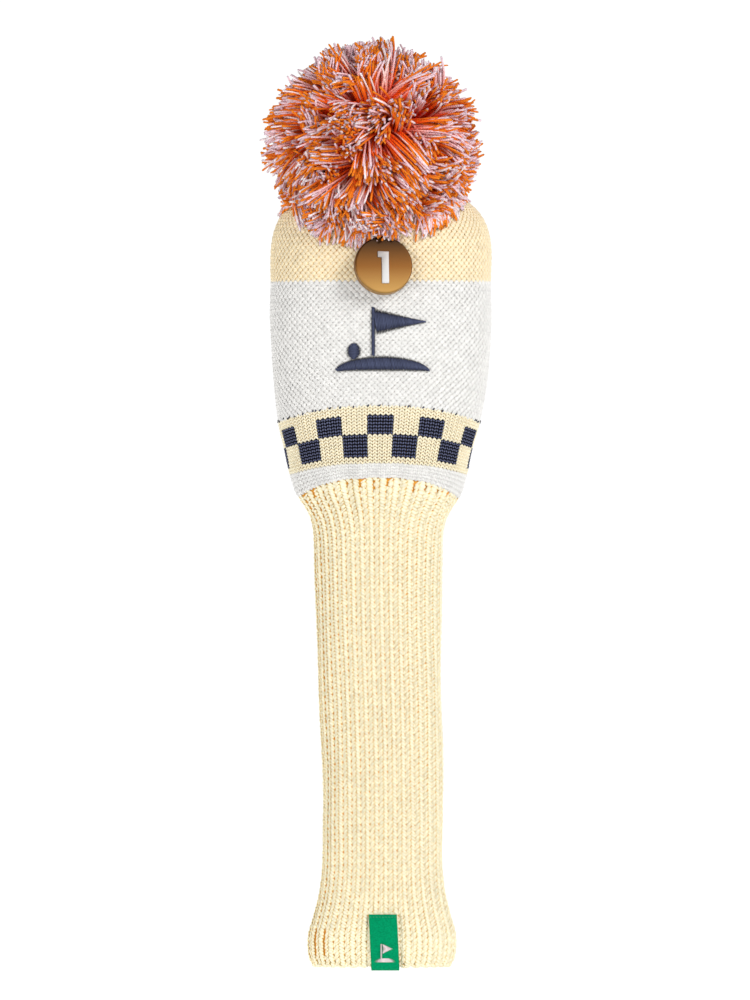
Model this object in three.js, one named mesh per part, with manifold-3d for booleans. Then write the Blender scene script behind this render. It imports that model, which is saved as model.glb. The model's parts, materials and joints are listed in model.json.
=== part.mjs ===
// Knitted driver head cover: a lined head pocket with a yarn pom on top, a long ribbed sleeve that
// hangs from it, a round metal number badge, an embroidered emblem and a woven label at the mouth.
// Millimetres. +X is to the right as the front is seen, -Y is the front, +Z is up.
// Heights below are measured up from the mouth of the sleeve; the last step moves the origin to the
// seat inside the crown, where the driver head bears.
import * as THREE from "three";
import { mergeVertices } from "three/addons/utils/BufferGeometryUtils.js";
import Module from "manifold-3d";

const wasm = await Module();
wasm.setup();

// ---------------------------------------------------------------- driving dimensions
const GAP = 0.3; // clearance between neighbouring pieces
const SEGMENTS = 36; // facets around the knitted tube
const SECTION_EXPONENT = 2.3; // superellipse exponent of the flattened tube

// Half width and half depth of the knitted tube at chosen heights.
const STATIONS = [
  { height: 0, halfWidth: 36.4, halfDepth: 17.2 },
  { height: 14, halfWidth: 37.9, halfDepth: 18.2 },
  { height: 33, halfWidth: 33.2, halfDepth: 15.6 },
  { height: 60, halfWidth: 31.0, halfDepth: 14.4 },
  { height: 215, halfWidth: 32.5, halfDepth: 14.8 },
  { height: 231, halfWidth: 34.6, halfDepth: 16.6 },
  { height: 247, halfWidth: 43.2, halfDepth: 23.0 },
  { height: 262, halfWidth: 46.8, halfDepth: 27.4 },
  { height: 290, halfWidth: 53.2, halfDepth: 32.2 },
  { height: 330, halfWidth: 57.1, halfDepth: 35.0 },
  { height: 360, halfWidth: 56.3, halfDepth: 34.5 },
];
const DOME_START = 360; // above this the crown closes as a superellipsoid
const DOME_RISE = 43;
const DOME_EXPONENT = 3;
const APEX = DOME_START + DOME_RISE;

// Walls, as insets from the outer surface.
const KNIT_WALL = 2.4;
const HEM_WALL = 4.0;
const LINING_INSET = 4.6;
const LINING_WALL = 1.6;
const LINING_DROP = 6.4; // how far the lining's top lies below the crown's apex

// Edges of the knitted bands: height at the sides and, higher, at the middle of front and back.
const MOUTH_EDGE = { side: 0, middle: 0 };
const HEM_TOP_EDGE = { side: 33, middle: 33 };
const SLEEVE_TOP_EDGE = { side: 215, middle: 215 };
const NECK_TOP_EDGE = { side: 242.5, middle: 252.8 };
const BAND_BOTTOM_EDGE = { side: 254.4, middle: 260.2 };
const BAND_TOP_EDGE = { side: 281.5, middle: 290 };
const CROWN_SEAM_EDGE = { side: 354, middle: 354 };
const LINING_BOTTOM_EDGE = { side: 262, middle: 262 };

// Pom: a ball of cut yarn bound at its centre and held by a short tie through the crown.
const POM_CENTRE = 426;
const POM_RADIUS = 53.5;
const POM_PIVOT = APEX + 2; // height of the point where the tie bends
const POM_SWING_SLOPE = THREE.MathUtils.degToRad(30); // free cone under the ball, for its swing
const POM_CONE_LIFT = 3; // height of that cone's tip above the pivot
const POM_WELL_RADIUS = 10.5; // hollow that holds the binding
const BINDING_RADIUS = 10;
const BINDING_HEIGHT = 16;
const TIE_RADIUS = 1.5;
const ANCHOR_RADIUS = 11;
const ANCHOR_THICKNESS = 2;
const ANCHOR_STEM_RADIUS = 2;
const CROWN_HOLE_HALF_WIDTH = 5.2;
const GATHER_RADIUS = 7.5;
const GATHER_CORD_RADIUS = 1.0;

// Badge: a thick metal cap with a reeded edge, riveted through the crown knit.
const BADGE = {
  across: 0.6,
  height: 360,
  faceRadius: 14.6,
  baseRadius: 15.1,
  thickness: 4.5,
  standOff: 3.8,
};
const BADGE_NORMAL = new THREE.Vector3(0.17, -0.96, 0.22).normalize();
const BADGE_BEVEL = 0.5;
const BADGE_FACETS = 40;
const BADGE_SOCKET = { radius: 2.2, depth: 1.8 };
const SHANK_RADIUS = 1.6;
const BACK_PLATE = { radius: 3.4, thickness: 0.6 };
const NUMERAL = {
  stemLeft: -0.6,
  stemRight: 3.4,
  flagLeft: -2.8,
  flagHeight: 3.2,
  bottom: -8.6,
  top: 8.3,
  sunk: 0.4,
  proud: 0.3,
};

// Emblem: satin stitched flag, pole, mound and ball on the white panel.
const EMBLEM = { across: 1.5, height: 323.5, width: 48, rise: 33, thickness: 0.9 };
const EMBLEM_BACKING = { width: 54, rise: 39, thickness: 0.5 };

// Woven label folded round the mouth, and the line of stitches that holds it.
const LABEL = { across: 2.6, width: 15.6, top: 26.4, thickness: 0.5, notch: 1.3 };
const LABEL_STITCH = { margin: 0.8, thickness: 0.4, below: 1.8 };

const COLOURS = {
  yellow: 0xf7e7bc,
  white: 0xefede8,
  navy: 0x3a3f58,
  ivory: 0xe9e2d0,
  orange: 0xe06a1c,
  pink: 0xdcc0cc,
  gold: 0xb98a45,
  silver: 0xdedad6,
  steel: 0x9a9a98,
  green: 0x089c69,
};

// ---------------------------------------------------------------- geometry helpers
const smooth = (t) => t * t * (3 - 2 * t);

// Half width and half depth at a height, by a cubic through the stations.
function sectionAt(height) {
  const last = STATIONS.length - 1;
  const h = THREE.MathUtils.clamp(height, STATIONS[0].height, STATIONS[last].height);
  const i = Math.min(STATIONS.findLastIndex((s) => s.height <= h), last - 1);
  const slope = (key, k) => {
    const a = STATIONS[Math.max(k - 1, 0)];
    const b = STATIONS[Math.min(k + 1, last)];
    return (b[key] - a[key]) / (b.height - a.height);
  };
  const [from, to] = [STATIONS[i], STATIONS[i + 1]];
  const span = to.height - from.height;
  const t = (h - from.height) / span;
  const cubic = (key) =>
    (1 - smooth(t)) * from[key] +
    smooth(t) * to[key] +
    span * t * (1 - t) * ((1 - t) * slope(key, i) - t * slope(key, i + 1));
  return { halfWidth: cubic("halfWidth"), halfDepth: cubic("halfDepth") };
}

// Point of the knitted skin. Along runs up the skin: it is the height up to DOME_START, and from
// there to APEX it sweeps the dome. Drop lowers the dome's top, and equals the inset by default.
function skinPoint(along, angle, inset, drop = inset) {
  const sweep = (THREE.MathUtils.clamp((along - DOME_START) / DOME_RISE, 0, 1) * Math.PI) / 2;
  const inward = along >= APEX ? 0 : Math.cos(sweep) ** (2 / DOME_EXPONENT);
  const upward = Math.sin(sweep) ** (2 / DOME_EXPONENT);
  const { halfWidth, halfDepth } = sectionAt(along);
  const power = 2 / SECTION_EXPONENT;
  const [c, s] = [Math.cos(angle), Math.sin(angle)];
  return new THREE.Vector3(
    Math.sign(c) * Math.abs(c) ** power * (halfWidth - inset) * inward,
    Math.sign(s) * Math.abs(s) ** power * (halfDepth - inset) * inward,
    Math.min(along, DOME_START) + (DOME_RISE - drop) * upward,
  );
}

const edgeAt = (edge, angle) => edge.side + (edge.middle - edge.side) * Math.sin(angle) ** 2;

// Depth of the front surface at a place across the front, as a negative Y.
function frontY(across, height, inset) {
  const { halfWidth, halfDepth } = sectionAt(height);
  const x = Math.abs(across) / (halfWidth - inset);
  return -(halfDepth - inset) * (1 - x ** SECTION_EXPONENT) ** (1 / SECTION_EXPONENT);
}

// Keeps position only, merges shared vertices, drops collapsed triangles and turns the faces out.
function cleaned(geometry) {
  const bare = new THREE.BufferGeometry();
  bare.setAttribute("position", geometry.getAttribute("position").clone());
  if (geometry.index) bare.setIndex(geometry.index.clone());
  const merged = mergeVertices(bare, 1e-3);
  const position = merged.getAttribute("position");
  const corners = [];
  let volume = 0;
  for (let i = 0; i < merged.index.count; i += 3) {
    const tri = [0, 1, 2].map((k) => merged.index.getX(i + k));
    if (new Set(tri).size < 3) continue;
    corners.push(tri);
    const [a, b, c] = tri.map((v) => new THREE.Vector3().fromBufferAttribute(position, v));
    volume += a.dot(b.cross(c));
  }
  merged.setIndex((volume < 0 ? corners.map(([a, b, c]) => [a, c, b]) : corners).flat());
  return merged;
}

function manifoldFrom(geometry) {
  const solid = cleaned(geometry);
  const vertProperties = new Float32Array(solid.getAttribute("position").array);
  const triVerts = new Uint32Array(solid.index.array);
  return new wasm.Manifold(new wasm.Mesh({ numProp: 3, vertProperties, triVerts }));
}

function geometryFrom(manifold) {
  const mesh = manifold.getMesh();
  const geometry = new THREE.BufferGeometry();
  geometry.setAttribute("position", new THREE.Float32BufferAttribute(mesh.vertProperties, 3));
  geometry.setIndex(Array.from(mesh.triVerts));
  return geometry;
}

function cut(geometry, ...cutters) {
  const body = manifoldFrom(geometry);
  return geometryFrom(cutters.reduce((left, c) => left.subtract(manifoldFrom(c)), body));
}

// Closed profile of [radius, height] points turned about Z.
function turned(profile, segments = SEGMENTS) {
  const points = profile.map(([radius, height]) => new THREE.Vector2(radius, height));
  return new THREE.LatheGeometry(points, segments).rotateX(Math.PI / 2);
}

// Closed profile of [inset, rise] points swept round the skin by a map to a skin point.
const CARRIER_RADIUS = 100;
function swept(profile, pointAt) {
  const ring = turned(profile.map(([inset, rise]) => [CARRIER_RADIUS - inset, rise]));
  const position = ring.getAttribute("position");
  const vertex = new THREE.Vector3();
  for (let i = 0; i < position.count; i++) {
    vertex.fromBufferAttribute(position, i);
    const angle = Math.atan2(vertex.y, vertex.x);
    const inset = CARRIER_RADIUS - Math.hypot(vertex.x, vertex.y);
    const { x, y, z } = pointAt(inset, vertex.z, angle);
    position.setXYZ(i, x, y, z);
  }
  return ring;
}

// A band of knit between two edges, with its wall between two insets.
function band(lower, upper, outerInset, innerInset, rows, drops = {}) {
  const up = Array.from({ length: rows + 1 }, (_, i) => i / rows);
  const outer = up.map((rise) => [outerInset, rise]);
  const inner = up.toReversed().map((rise) => [innerInset, rise]);
  return swept([...outer, ...inner, outer[0]], (inset, rise, angle) => {
    const along = THREE.MathUtils.lerp(edgeAt(lower, angle), edgeAt(upper, angle), rise);
    return skinPoint(along, angle, inset, drops[Math.round(inset * 10)]);
  });
}

const lowered = (edge) => ({ side: edge.side - GAP, middle: edge.middle - GAP });

// A yarn laid round the skin along an edge, just clear of it.
function yarnRound(edge, radius, sides = 6) {
  const centre = -(GAP + radius);
  const profile = Array.from({ length: sides + 1 }, (_, i) => {
    const turn = (i / sides) * 2 * Math.PI;
    return [centre + radius * Math.cos(turn), radius * Math.sin(turn)];
  });
  return swept(profile, (inset, rise, angle) => {
    const along = edgeAt(edge, angle);
    return skinPoint(along, angle, inset).add(new THREE.Vector3(0, 0, rise));
  });
}

// A flat patch laid on the front surface. Vertex x runs across, y up and z out of the surface.
function frontPatch(geometry, across, height, inset) {
  const position = geometry.getAttribute("position");
  for (let i = 0; i < position.count; i++) {
    const x = across + position.getX(i);
    const z = height + position.getY(i);
    position.setXYZ(i, x, frontY(x, z, inset) - position.getZ(i), z);
  }
  return geometry;
}

// A patch whose lower and upper outlines are functions of the place across.
function outlinedPatch(from, to, lower, upper, thickness, columns) {
  const box = new THREE.BoxGeometry(1, 1, 1, columns, 2, 1).translate(0.5, 0.5, 0.5);
  const position = box.getAttribute("position");
  for (let i = 0; i < position.count; i++) {
    const x = THREE.MathUtils.lerp(from, to, position.getX(i));
    const y = THREE.MathUtils.lerp(lower(x), upper(x), position.getY(i));
    position.setXYZ(i, x, y, position.getZ(i) * thickness);
  }
  return box;
}

const cover = new THREE.Group();

function addPart(name, geometry, colour, roughness = 0.9, metalness = 0) {
  const material = new THREE.MeshStandardMaterial({ color: colour, roughness, metalness });
  const mesh = new THREE.Mesh(cleaned(geometry), material);
  mesh.name = name;
  cover.add(mesh);
  return mesh;
}

// A disc or rod along Z with its foot at the origin.
function disc(radius, length, sides) {
  const rod = new THREE.CylinderGeometry(radius, radius, length, sides);
  return rod.rotateX(Math.PI / 2).translate(0, 0, length / 2);
}

// Place of the rivet's plate along the badge axis, tilted under the knit and clear of it.
const plateTilt = BACK_PLATE.radius * Math.hypot(BADGE_NORMAL.x, BADGE_NORMAL.z);
const backPlateFoot = -(KNIT_WALL + 2 * GAP + plateTilt + BACK_PLATE.thickness);

// Turns a shape whose axis is Z, with its base at the origin, to stand on the badge axis.
function onBadgeAxis(geometry, offset) {
  const turn = new THREE.Quaternion().setFromUnitVectors(new THREE.Vector3(0, 0, 1), BADGE_NORMAL);
  const base = new THREE.Vector3(
    BADGE.across,
    frontY(BADGE.across, BADGE.height, 0),
    BADGE.height,
  ).addScaledVector(BADGE_NORMAL, offset);
  return geometry.applyQuaternion(turn).translate(base.x, base.y, base.z);
}

// ---------------------------------------------------------------- knitted tube
function addSleeve() {
  const notch = new THREE.BoxGeometry(LABEL.width + 2, HEM_WALL * 3, LABEL.notch * 2);
  notch.translate(LABEL.across, frontY(LABEL.across, 0, HEM_WALL / 2), 0);
  const hem = band(MOUTH_EDGE, lowered(HEM_TOP_EDGE), 0, HEM_WALL, 4);
  addPart("hem_cuff", cut(hem, notch), COLOURS.yellow);
  addPart("rib_sleeve", band(HEM_TOP_EDGE, lowered(SLEEVE_TOP_EDGE), 0, KNIT_WALL, 4), COLOURS.yellow);
}

function addHeadKnit() {
  const neck = band(SLEEVE_TOP_EDGE, lowered(NECK_TOP_EDGE), 0, KNIT_WALL, 5);
  addPart("neck_flare", neck, COLOURS.yellow);
  const strip = band(NECK_TOP_EDGE, lowered(BAND_BOTTOM_EDGE), 0, KNIT_WALL, 1);
  addPart("lower_white_band", strip, COLOURS.white);
  const checks = band(BAND_BOTTOM_EDGE, lowered(BAND_TOP_EDGE), 0, KNIT_WALL, 2);
  addPart("checker_band", checks, COLOURS.navy);
  addPart("linking_seam_thread", yarnRound(BAND_TOP_EDGE, 0.6), COLOURS.navy);
  const panel = band(BAND_TOP_EDGE, lowered(CROWN_SEAM_EDGE), 0, KNIT_WALL, 4);
  addPart("white_panel", panel, COLOURS.white);
}

function addCrown() {
  const sweepOfHole =
    Math.acos((CROWN_HOLE_HALF_WIDTH / sectionAt(DOME_START).halfWidth) ** (DOME_EXPONENT / 2));
  const holeEdge = DOME_START + (DOME_RISE * sweepOfHole) / (Math.PI / 2);
  const top = { side: holeEdge, middle: holeEdge };
  const rivetHole = disc(SHANK_RADIUS + GAP, 4 * KNIT_WALL, 12);
  const crown = band(CROWN_SEAM_EDGE, top, 0, KNIT_WALL, 8);
  addPart("crown_panel", cut(crown, onBadgeAxis(rivetHole, -2 * KNIT_WALL)), COLOURS.yellow);
}

function addLining() {
  const drops = {
    [Math.round(LINING_INSET * 10)]: LINING_DROP,
    [Math.round((LINING_INSET + LINING_WALL) * 10)]: LINING_DROP + LINING_WALL,
  };
  const top = { side: APEX, middle: APEX };
  const inner = LINING_INSET + LINING_WALL;
  const lining = band(LINING_BOTTOM_EDGE, top, LINING_INSET, inner, 9, drops);
  const dimple = disc(BACK_PLATE.radius + GAP, 2 * BACK_PLATE.thickness + GAP, 16);
  const dimpleFoot = backPlateFoot - GAP;
  addPart("head_lining", cut(lining, onBadgeAxis(dimple, dimpleFoot)), COLOURS.ivory);
}

// ---------------------------------------------------------------- pom
const coneHeight = (radius) =>
  POM_PIVOT + POM_CONE_LIFT + radius * Math.tan(POM_SWING_SLOPE);

function addPomFixings() {
  const anchorTop = APEX - KNIT_WALL - 3 * GAP;
  const anchor = turned([
    [0, anchorTop - ANCHOR_THICKNESS],
    [ANCHOR_RADIUS, anchorTop - ANCHOR_THICKNESS],
    [ANCHOR_RADIUS, anchorTop],
    [ANCHOR_STEM_RADIUS, anchorTop],
    [ANCHOR_STEM_RADIUS, POM_PIVOT - 2 * GAP],
    [0, POM_PIVOT - 2 * GAP],
  ], 20);
  addPart("pom_anchor_button", anchor, COLOURS.ivory, 0.5);
  const gather = new THREE.TorusGeometry(GATHER_RADIUS, GATHER_CORD_RADIUS, 6, 20);
  gather.translate(0, 0, APEX + GATHER_CORD_RADIUS + GAP);
  addPart("crown_gather_cord", gather, COLOURS.yellow);
  const bindingFoot = POM_CENTRE - BINDING_HEIGHT / 2;
  const tie = turned([
    [0, POM_PIVOT + 2 * GAP],
    [TIE_RADIUS, POM_PIVOT + 4 * GAP],
    [TIE_RADIUS, bindingFoot - GAP],
    [0, bindingFoot - GAP],
  ], 12);
  addPart("pom_tie_cord", tie, COLOURS.ivory);
  const waist = BINDING_RADIUS * 0.86;
  const binding = turned([
    [0, bindingFoot],
    [waist, bindingFoot],
    [BINDING_RADIUS, POM_CENTRE],
    [waist, bindingFoot + BINDING_HEIGHT],
    [0, bindingFoot + BINDING_HEIGHT],
  ], 20);
  addPart("pom_binding", binding, COLOURS.orange);
}

function addPomYarn() {
  const rimRadius = POM_RADIUS * 0.985;
  const rimHeight = coneHeight(rimRadius);
  const rimAngle = Math.asin((rimHeight - POM_CENTRE) / POM_RADIUS);
  const arcPoints = 8;
  const arc = Array.from({ length: arcPoints }, (_, i) => {
    const angle = THREE.MathUtils.lerp(rimAngle, Math.PI / 2, (i + 1) / (arcPoints + 1));
    return [POM_RADIUS * Math.cos(angle), POM_CENTRE + POM_RADIUS * Math.sin(angle)];
  });
  const wellTop = POM_CENTRE + BINDING_HEIGHT / 2 + GAP;
  const ball = turned([
    [0, wellTop],
    [POM_WELL_RADIUS, wellTop],
    [POM_WELL_RADIUS, coneHeight(POM_WELL_RADIUS)],
    [rimRadius, rimHeight],
    ...arc,
    [0, POM_CENTRE + POM_RADIUS],
  ], 24);
  addPart("pom_ball", ball, COLOURS.orange);

  const sphere = new THREE.SphereGeometry(POM_RADIUS, 24, 14).rotateX(Math.PI / 2);
  const reach = POM_RADIUS * 1.4;
  const aboveCone = turned([
    [0, coneHeight(0) - GAP],
    [reach, coneHeight(reach) - GAP],
    [reach, coneHeight(reach) + reach],
    [0, coneHeight(reach) + reach],
  ], 24);
  const core = turned([
    [0, DOME_START],
    [POM_WELL_RADIUS + GAP, DOME_START],
    [POM_WELL_RADIUS + GAP, POM_CENTRE],
    [0, POM_CENTRE],
  ], 20);
  const clearance = 2 * GAP;
  const rows = 10;
  const crownRoom = swept(
    [
      ...Array.from({ length: rows + 1 }, (_, i) => [-clearance, i / rows]),
      [CARRIER_RADIUS, 1],
      [CARRIER_RADIUS, 0],
      [-clearance, 0],
    ],
    (inset, rise, angle) => {
      const along = THREE.MathUtils.lerp(STATIONS.at(-2).height, APEX, rise);
      const point = skinPoint(along, angle, -clearance);
      return inset > 0 ? new THREE.Vector3(0, 0, point.z) : point;
    },
  );
  const skirt = cut(sphere.translate(0, 0, POM_CENTRE), aboveCone, core, crownRoom);
  addPart("pom_skirt", skirt, COLOURS.pink);
}

// ---------------------------------------------------------------- badge
function numeralShape(grow) {
  const n = NUMERAL;
  return new THREE.Shape([
    new THREE.Vector2(n.stemLeft - grow, n.bottom - grow),
    new THREE.Vector2(n.stemRight + grow, n.bottom - grow),
    new THREE.Vector2(n.stemRight + grow, n.top + grow),
    new THREE.Vector2(n.flagLeft - grow, n.top + grow),
    new THREE.Vector2(n.flagLeft - grow, n.top - n.flagHeight - grow),
    new THREE.Vector2(n.stemLeft - grow, n.top - n.flagHeight - grow),
  ]);
}

const numeralBlock = (grow, depth) =>
  new THREE.ExtrudeGeometry(numeralShape(grow), { depth, bevelEnabled: false });

function addBadge() {
  const { faceRadius, baseRadius, thickness, standOff } = BADGE;
  const { sunk, proud } = NUMERAL;
  const cap = turned([
    [0, BADGE_SOCKET.depth],
    [BADGE_SOCKET.radius, BADGE_SOCKET.depth],
    [BADGE_SOCKET.radius, 0],
    [baseRadius - BADGE_BEVEL, 0],
    [baseRadius, BADGE_BEVEL],
    [faceRadius, thickness - BADGE_BEVEL],
    [faceRadius - BADGE_BEVEL, thickness],
    [0, thickness],
  ], BADGE_FACETS);
  const face = standOff + thickness;
  const seat = facingBadge(numeralBlock(GAP, sunk + 2 * GAP), face - sunk - GAP);
  addPart("badge_cap", cut(onBadgeAxis(cap, standOff), seat), COLOURS.gold, 0.45, 1);
  const numeral = facingBadge(numeralBlock(0, sunk + proud), face - sunk);
  addPart("badge_number", numeral, COLOURS.silver, 0.35, 1);

  const shankFoot = backPlateFoot + BACK_PLATE.thickness + GAP;
  const shankTop = standOff + BADGE_SOCKET.depth - GAP;
  const shank = disc(SHANK_RADIUS, shankTop - shankFoot, 12);
  addPart("badge_shank", onBadgeAxis(shank, shankFoot), COLOURS.steel, 0.4, 1);
  const plate = disc(BACK_PLATE.radius, BACK_PLATE.thickness, 16);
  addPart("badge_back_plate", onBadgeAxis(plate, backPlateFoot), COLOURS.steel, 0.4, 1);
}

// Stands a shape drawn upright in the XY plane on the badge's face, keeping it upright.
function facingBadge(geometry, offset) {
  const right = new THREE.Vector3(0, 0, 1).cross(BADGE_NORMAL).normalize();
  const up = BADGE_NORMAL.clone().cross(right);
  const base = new THREE.Vector3(
    BADGE.across,
    frontY(BADGE.across, BADGE.height, 0),
    BADGE.height,
  ).addScaledVector(BADGE_NORMAL, offset);
  const frame = new THREE.Matrix4().makeBasis(right, up, BADGE_NORMAL).setPosition(base);
  return geometry.applyMatrix4(frame);
}

// ---------------------------------------------------------------- emblem
function addEmblem() {
  const { across, height, width, rise, thickness } = EMBLEM;
  const onPanel = (geometry) => frontPatch(geometry, across, height, -GAP);
  const half = width / 2;
  const ground = -rise / 2;
  const moundTop = (x) => ground + 1.4 + 7 * (1 - (x / half) ** 2);
  const mound = outlinedPatch(-half, half, () => ground, moundTop, thickness, 12);
  addPart("emblem_mound", onPanel(mound), COLOURS.navy);

  const pole = { x: -5, halfWidth: 1.1 };
  const poleFoot = moundTop(0) + GAP;
  const stick = outlinedPatch(
    pole.x - pole.halfWidth, pole.x + pole.halfWidth, () => poleFoot, () => rise / 2, thickness, 1,
  );
  addPart("emblem_flagstick", onPanel(stick), COLOURS.navy);

  const hoist = pole.x + pole.halfWidth + GAP;
  const fly = half - 2;
  const hoistRise = 14.5;
  const taper = (x) => (0.93 * hoistRise * (x - hoist)) / (fly - hoist);
  const flag = outlinedPatch(
    hoist,
    fly,
    (x) => rise / 2 - hoistRise + taper(x) * 0.55,
    (x) => rise / 2 - taper(x) * 0.45,
    thickness,
    6,
  );
  addPart("emblem_flag", onPanel(flag), COLOURS.navy);

  const ball = new THREE.CylinderGeometry(4, 4, thickness, 16).rotateX(Math.PI / 2);
  ball.translate(-15, moundTop(-15) + 4 + 3 * GAP, thickness / 2);
  addPart("emblem_ball", onPanel(ball), COLOURS.navy);

  const backing = outlinedPatch(
    -EMBLEM_BACKING.width / 2,
    EMBLEM_BACKING.width / 2,
    () => -EMBLEM_BACKING.rise / 2,
    () => EMBLEM_BACKING.rise / 2,
    EMBLEM_BACKING.thickness,
    10,
  );
  const inset = KNIT_WALL + 2 * GAP + EMBLEM_BACKING.thickness;
  const sheet = frontPatch(backing, across, height, inset);
  addPart("emblem_backing", sheet, COLOURS.white);
}

// ---------------------------------------------------------------- label
// The label's section, in depth and height, runs up the outside of the hem, under the mouth and up
// the inside; across the front it follows the hem's curve.
function addLabel() {
  const { across, width, top, thickness, notch } = LABEL;
  const steps = 5;
  const rise = Array.from({ length: steps + 1 }, (_, i) => (i / steps) * top);
  const outside = (offset) => (z) => [-sectionAt(z).halfDepth - GAP - offset, z];
  const inside = (offset) => (z) => [-sectionAt(z).halfDepth + HEM_WALL + GAP + offset, z];
  const under = notch - GAP - thickness;
  const up = rise.slice(1);
  const outline = [
    ...up.toReversed().map(outside(thickness)),
    [outside(thickness)(0)[0], under],
    [inside(thickness)(0)[0], under],
    ...up.map(inside(thickness)),
    ...up.toReversed().map(inside(0)),
    [inside(0)(0)[0], under + thickness],
    [outside(0)(0)[0], under + thickness],
    ...up.map(outside(0)),
  ];
  const shape = new THREE.Shape(outline.map(([y, z]) => new THREE.Vector2(y, z)));
  const label = new THREE.ExtrudeGeometry(shape, { depth: width, steps: 4, bevelEnabled: false });
  label.translate(0, 0, across - width / 2);
  const position = label.getAttribute("position");
  for (let i = 0; i < position.count; i++) {
    const [y, z, x] = [position.getX(i), position.getY(i), position.getZ(i)];
    const bulge = frontY(x, z, 0) + sectionAt(z).halfDepth;
    position.setXYZ(i, x, y + bulge, z);
  }
  addPart("woven_label", label, COLOURS.green, 0.7);

  const { margin, below } = LABEL_STITCH;
  const row = new THREE.BoxGeometry(width - 2 * margin, LABEL_STITCH.thickness, LABEL_STITCH.thickness, 4);
  row.translate(0, 0, LABEL_STITCH.thickness / 2);
  const stitches = frontPatch(row, across, top - below, -(2 * GAP + thickness));
  addPart("label_stitches", stitches, COLOURS.white);
}

addSleeve();
addHeadKnit();
addCrown();
addLining();
addPomFixings();
addPomYarn();
addBadge();
addEmblem();
addLabel();

const seatHeight = APEX - LINING_DROP - LINING_WALL;
cover.position.z = -seatHeight;

export default cover;
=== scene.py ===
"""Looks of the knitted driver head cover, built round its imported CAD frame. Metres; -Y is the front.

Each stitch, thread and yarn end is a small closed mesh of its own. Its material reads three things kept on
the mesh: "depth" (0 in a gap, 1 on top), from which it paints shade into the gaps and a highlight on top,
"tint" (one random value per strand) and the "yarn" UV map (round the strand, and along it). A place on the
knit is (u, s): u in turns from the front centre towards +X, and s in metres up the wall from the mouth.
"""

import json

import bpy
import numpy as np
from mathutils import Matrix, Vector


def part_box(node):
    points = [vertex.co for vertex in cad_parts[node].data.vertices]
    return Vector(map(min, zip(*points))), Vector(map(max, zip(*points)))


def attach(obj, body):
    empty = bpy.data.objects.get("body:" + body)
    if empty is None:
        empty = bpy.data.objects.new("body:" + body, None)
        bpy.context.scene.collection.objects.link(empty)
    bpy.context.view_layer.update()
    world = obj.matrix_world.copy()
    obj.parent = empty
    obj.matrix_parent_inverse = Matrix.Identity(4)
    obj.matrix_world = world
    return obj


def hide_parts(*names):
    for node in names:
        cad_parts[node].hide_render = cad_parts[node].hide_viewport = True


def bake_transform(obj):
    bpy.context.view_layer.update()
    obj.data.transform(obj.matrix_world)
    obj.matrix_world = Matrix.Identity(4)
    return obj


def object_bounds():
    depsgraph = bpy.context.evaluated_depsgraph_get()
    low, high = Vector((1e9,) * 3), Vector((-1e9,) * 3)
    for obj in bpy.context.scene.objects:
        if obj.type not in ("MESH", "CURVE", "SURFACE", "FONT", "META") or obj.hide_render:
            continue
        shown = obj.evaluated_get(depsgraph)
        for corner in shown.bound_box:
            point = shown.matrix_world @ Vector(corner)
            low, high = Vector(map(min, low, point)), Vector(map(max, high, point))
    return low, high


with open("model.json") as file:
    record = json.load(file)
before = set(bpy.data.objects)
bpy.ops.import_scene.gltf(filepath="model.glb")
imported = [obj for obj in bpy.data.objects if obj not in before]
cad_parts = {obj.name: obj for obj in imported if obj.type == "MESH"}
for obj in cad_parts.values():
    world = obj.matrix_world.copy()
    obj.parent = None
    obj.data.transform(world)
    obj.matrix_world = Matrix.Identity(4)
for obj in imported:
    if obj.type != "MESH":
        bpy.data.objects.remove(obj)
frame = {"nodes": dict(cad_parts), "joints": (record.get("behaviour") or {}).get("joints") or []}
CAD_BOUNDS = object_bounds()

# ---------------------------------------------------------------- driving dimensions
MM = 0.001
SEED = 11

SECTION_EXPONENT = 2.3  # superellipse exponent of the flattened tube, as in the CAD
DOME_EXPONENT = 3  # exponent of the crown's closing dome
DOME_RISE = 43 * MM

RIBS = 32  # ribs round the sleeve
RIB_SHIFT = 0.23  # how far the front rib's crest lies to +X of the middle, in ribs
RIB_DEPTH = 0.6 * MM
RIB_STITCH = 1.66 * MM  # height of one stitch of the ribbed sleeve
RIB_FADE = 3 * MM  # height over which the ribs flatten under the white strip
GATHER_HEIGHT = 7 * MM  # under the white strip some of the grooves' stitches are missing
GATHER_KEPT = 0.62  # share of the grooves' stitches that is kept there
SLIT_RIBS = (26, 27)  # on the hem's left these grooves stand open
SLIT_ENDS = (5 * MM, 19 * MM)
PANEL_COLUMNS = 97  # slanted stitches round the crown and the white panel
PANEL_ROW = 1.66 * MM
PANEL_ROWS = 41
BAND_COLUMNS = 100  # stitches round the checker band
BAND_ROWS = 18
BLOCK_STITCHES = 5  # stitches across one checker block
LOWER_BLOCKS = (2, 9)  # first row of the lower blocks, and the row after their last
UPPER_BLOCKS = (9, 15)
STRIP_ROWS = 5  # rows of the white strip under the checker band

ODD_ROW_SINK = 0.13 * MM  # every second row of the ribs, the panel and the crown lies a little deeper
# Depths of the outer and the inner face of the layers behind the stitches, under the knit's surface.
SHELL_DEPTHS = (0.4 * MM, 1.7 * MM)
SLEEVE_DEPTHS = (0.3 * MM, 1.6 * MM)
HEM_DEPTHS = (0.3 * MM, 2.9 * MM)
LINING_DEPTHS = (4.6 * MM, 6.2 * MM)

POM_STRANDS = 17000
POM_CLUMPS = 300
POM_ROOT = 26 * MM  # radius where the modelled part of the strands starts
YARN_RADIUS = 0.58 * MM

THREAD_PITCH = 0.8 * MM  # embroidery threads, side by side


def rng(offset):
    """A seeded random generator of its own for each piece."""
    return np.random.default_rng(SEED + offset)


def joined(*parts):
    """The parts side by side in a new last axis, each spread over the others' shape."""
    return np.stack(np.broadcast_arrays(*parts), axis=-1)


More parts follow.
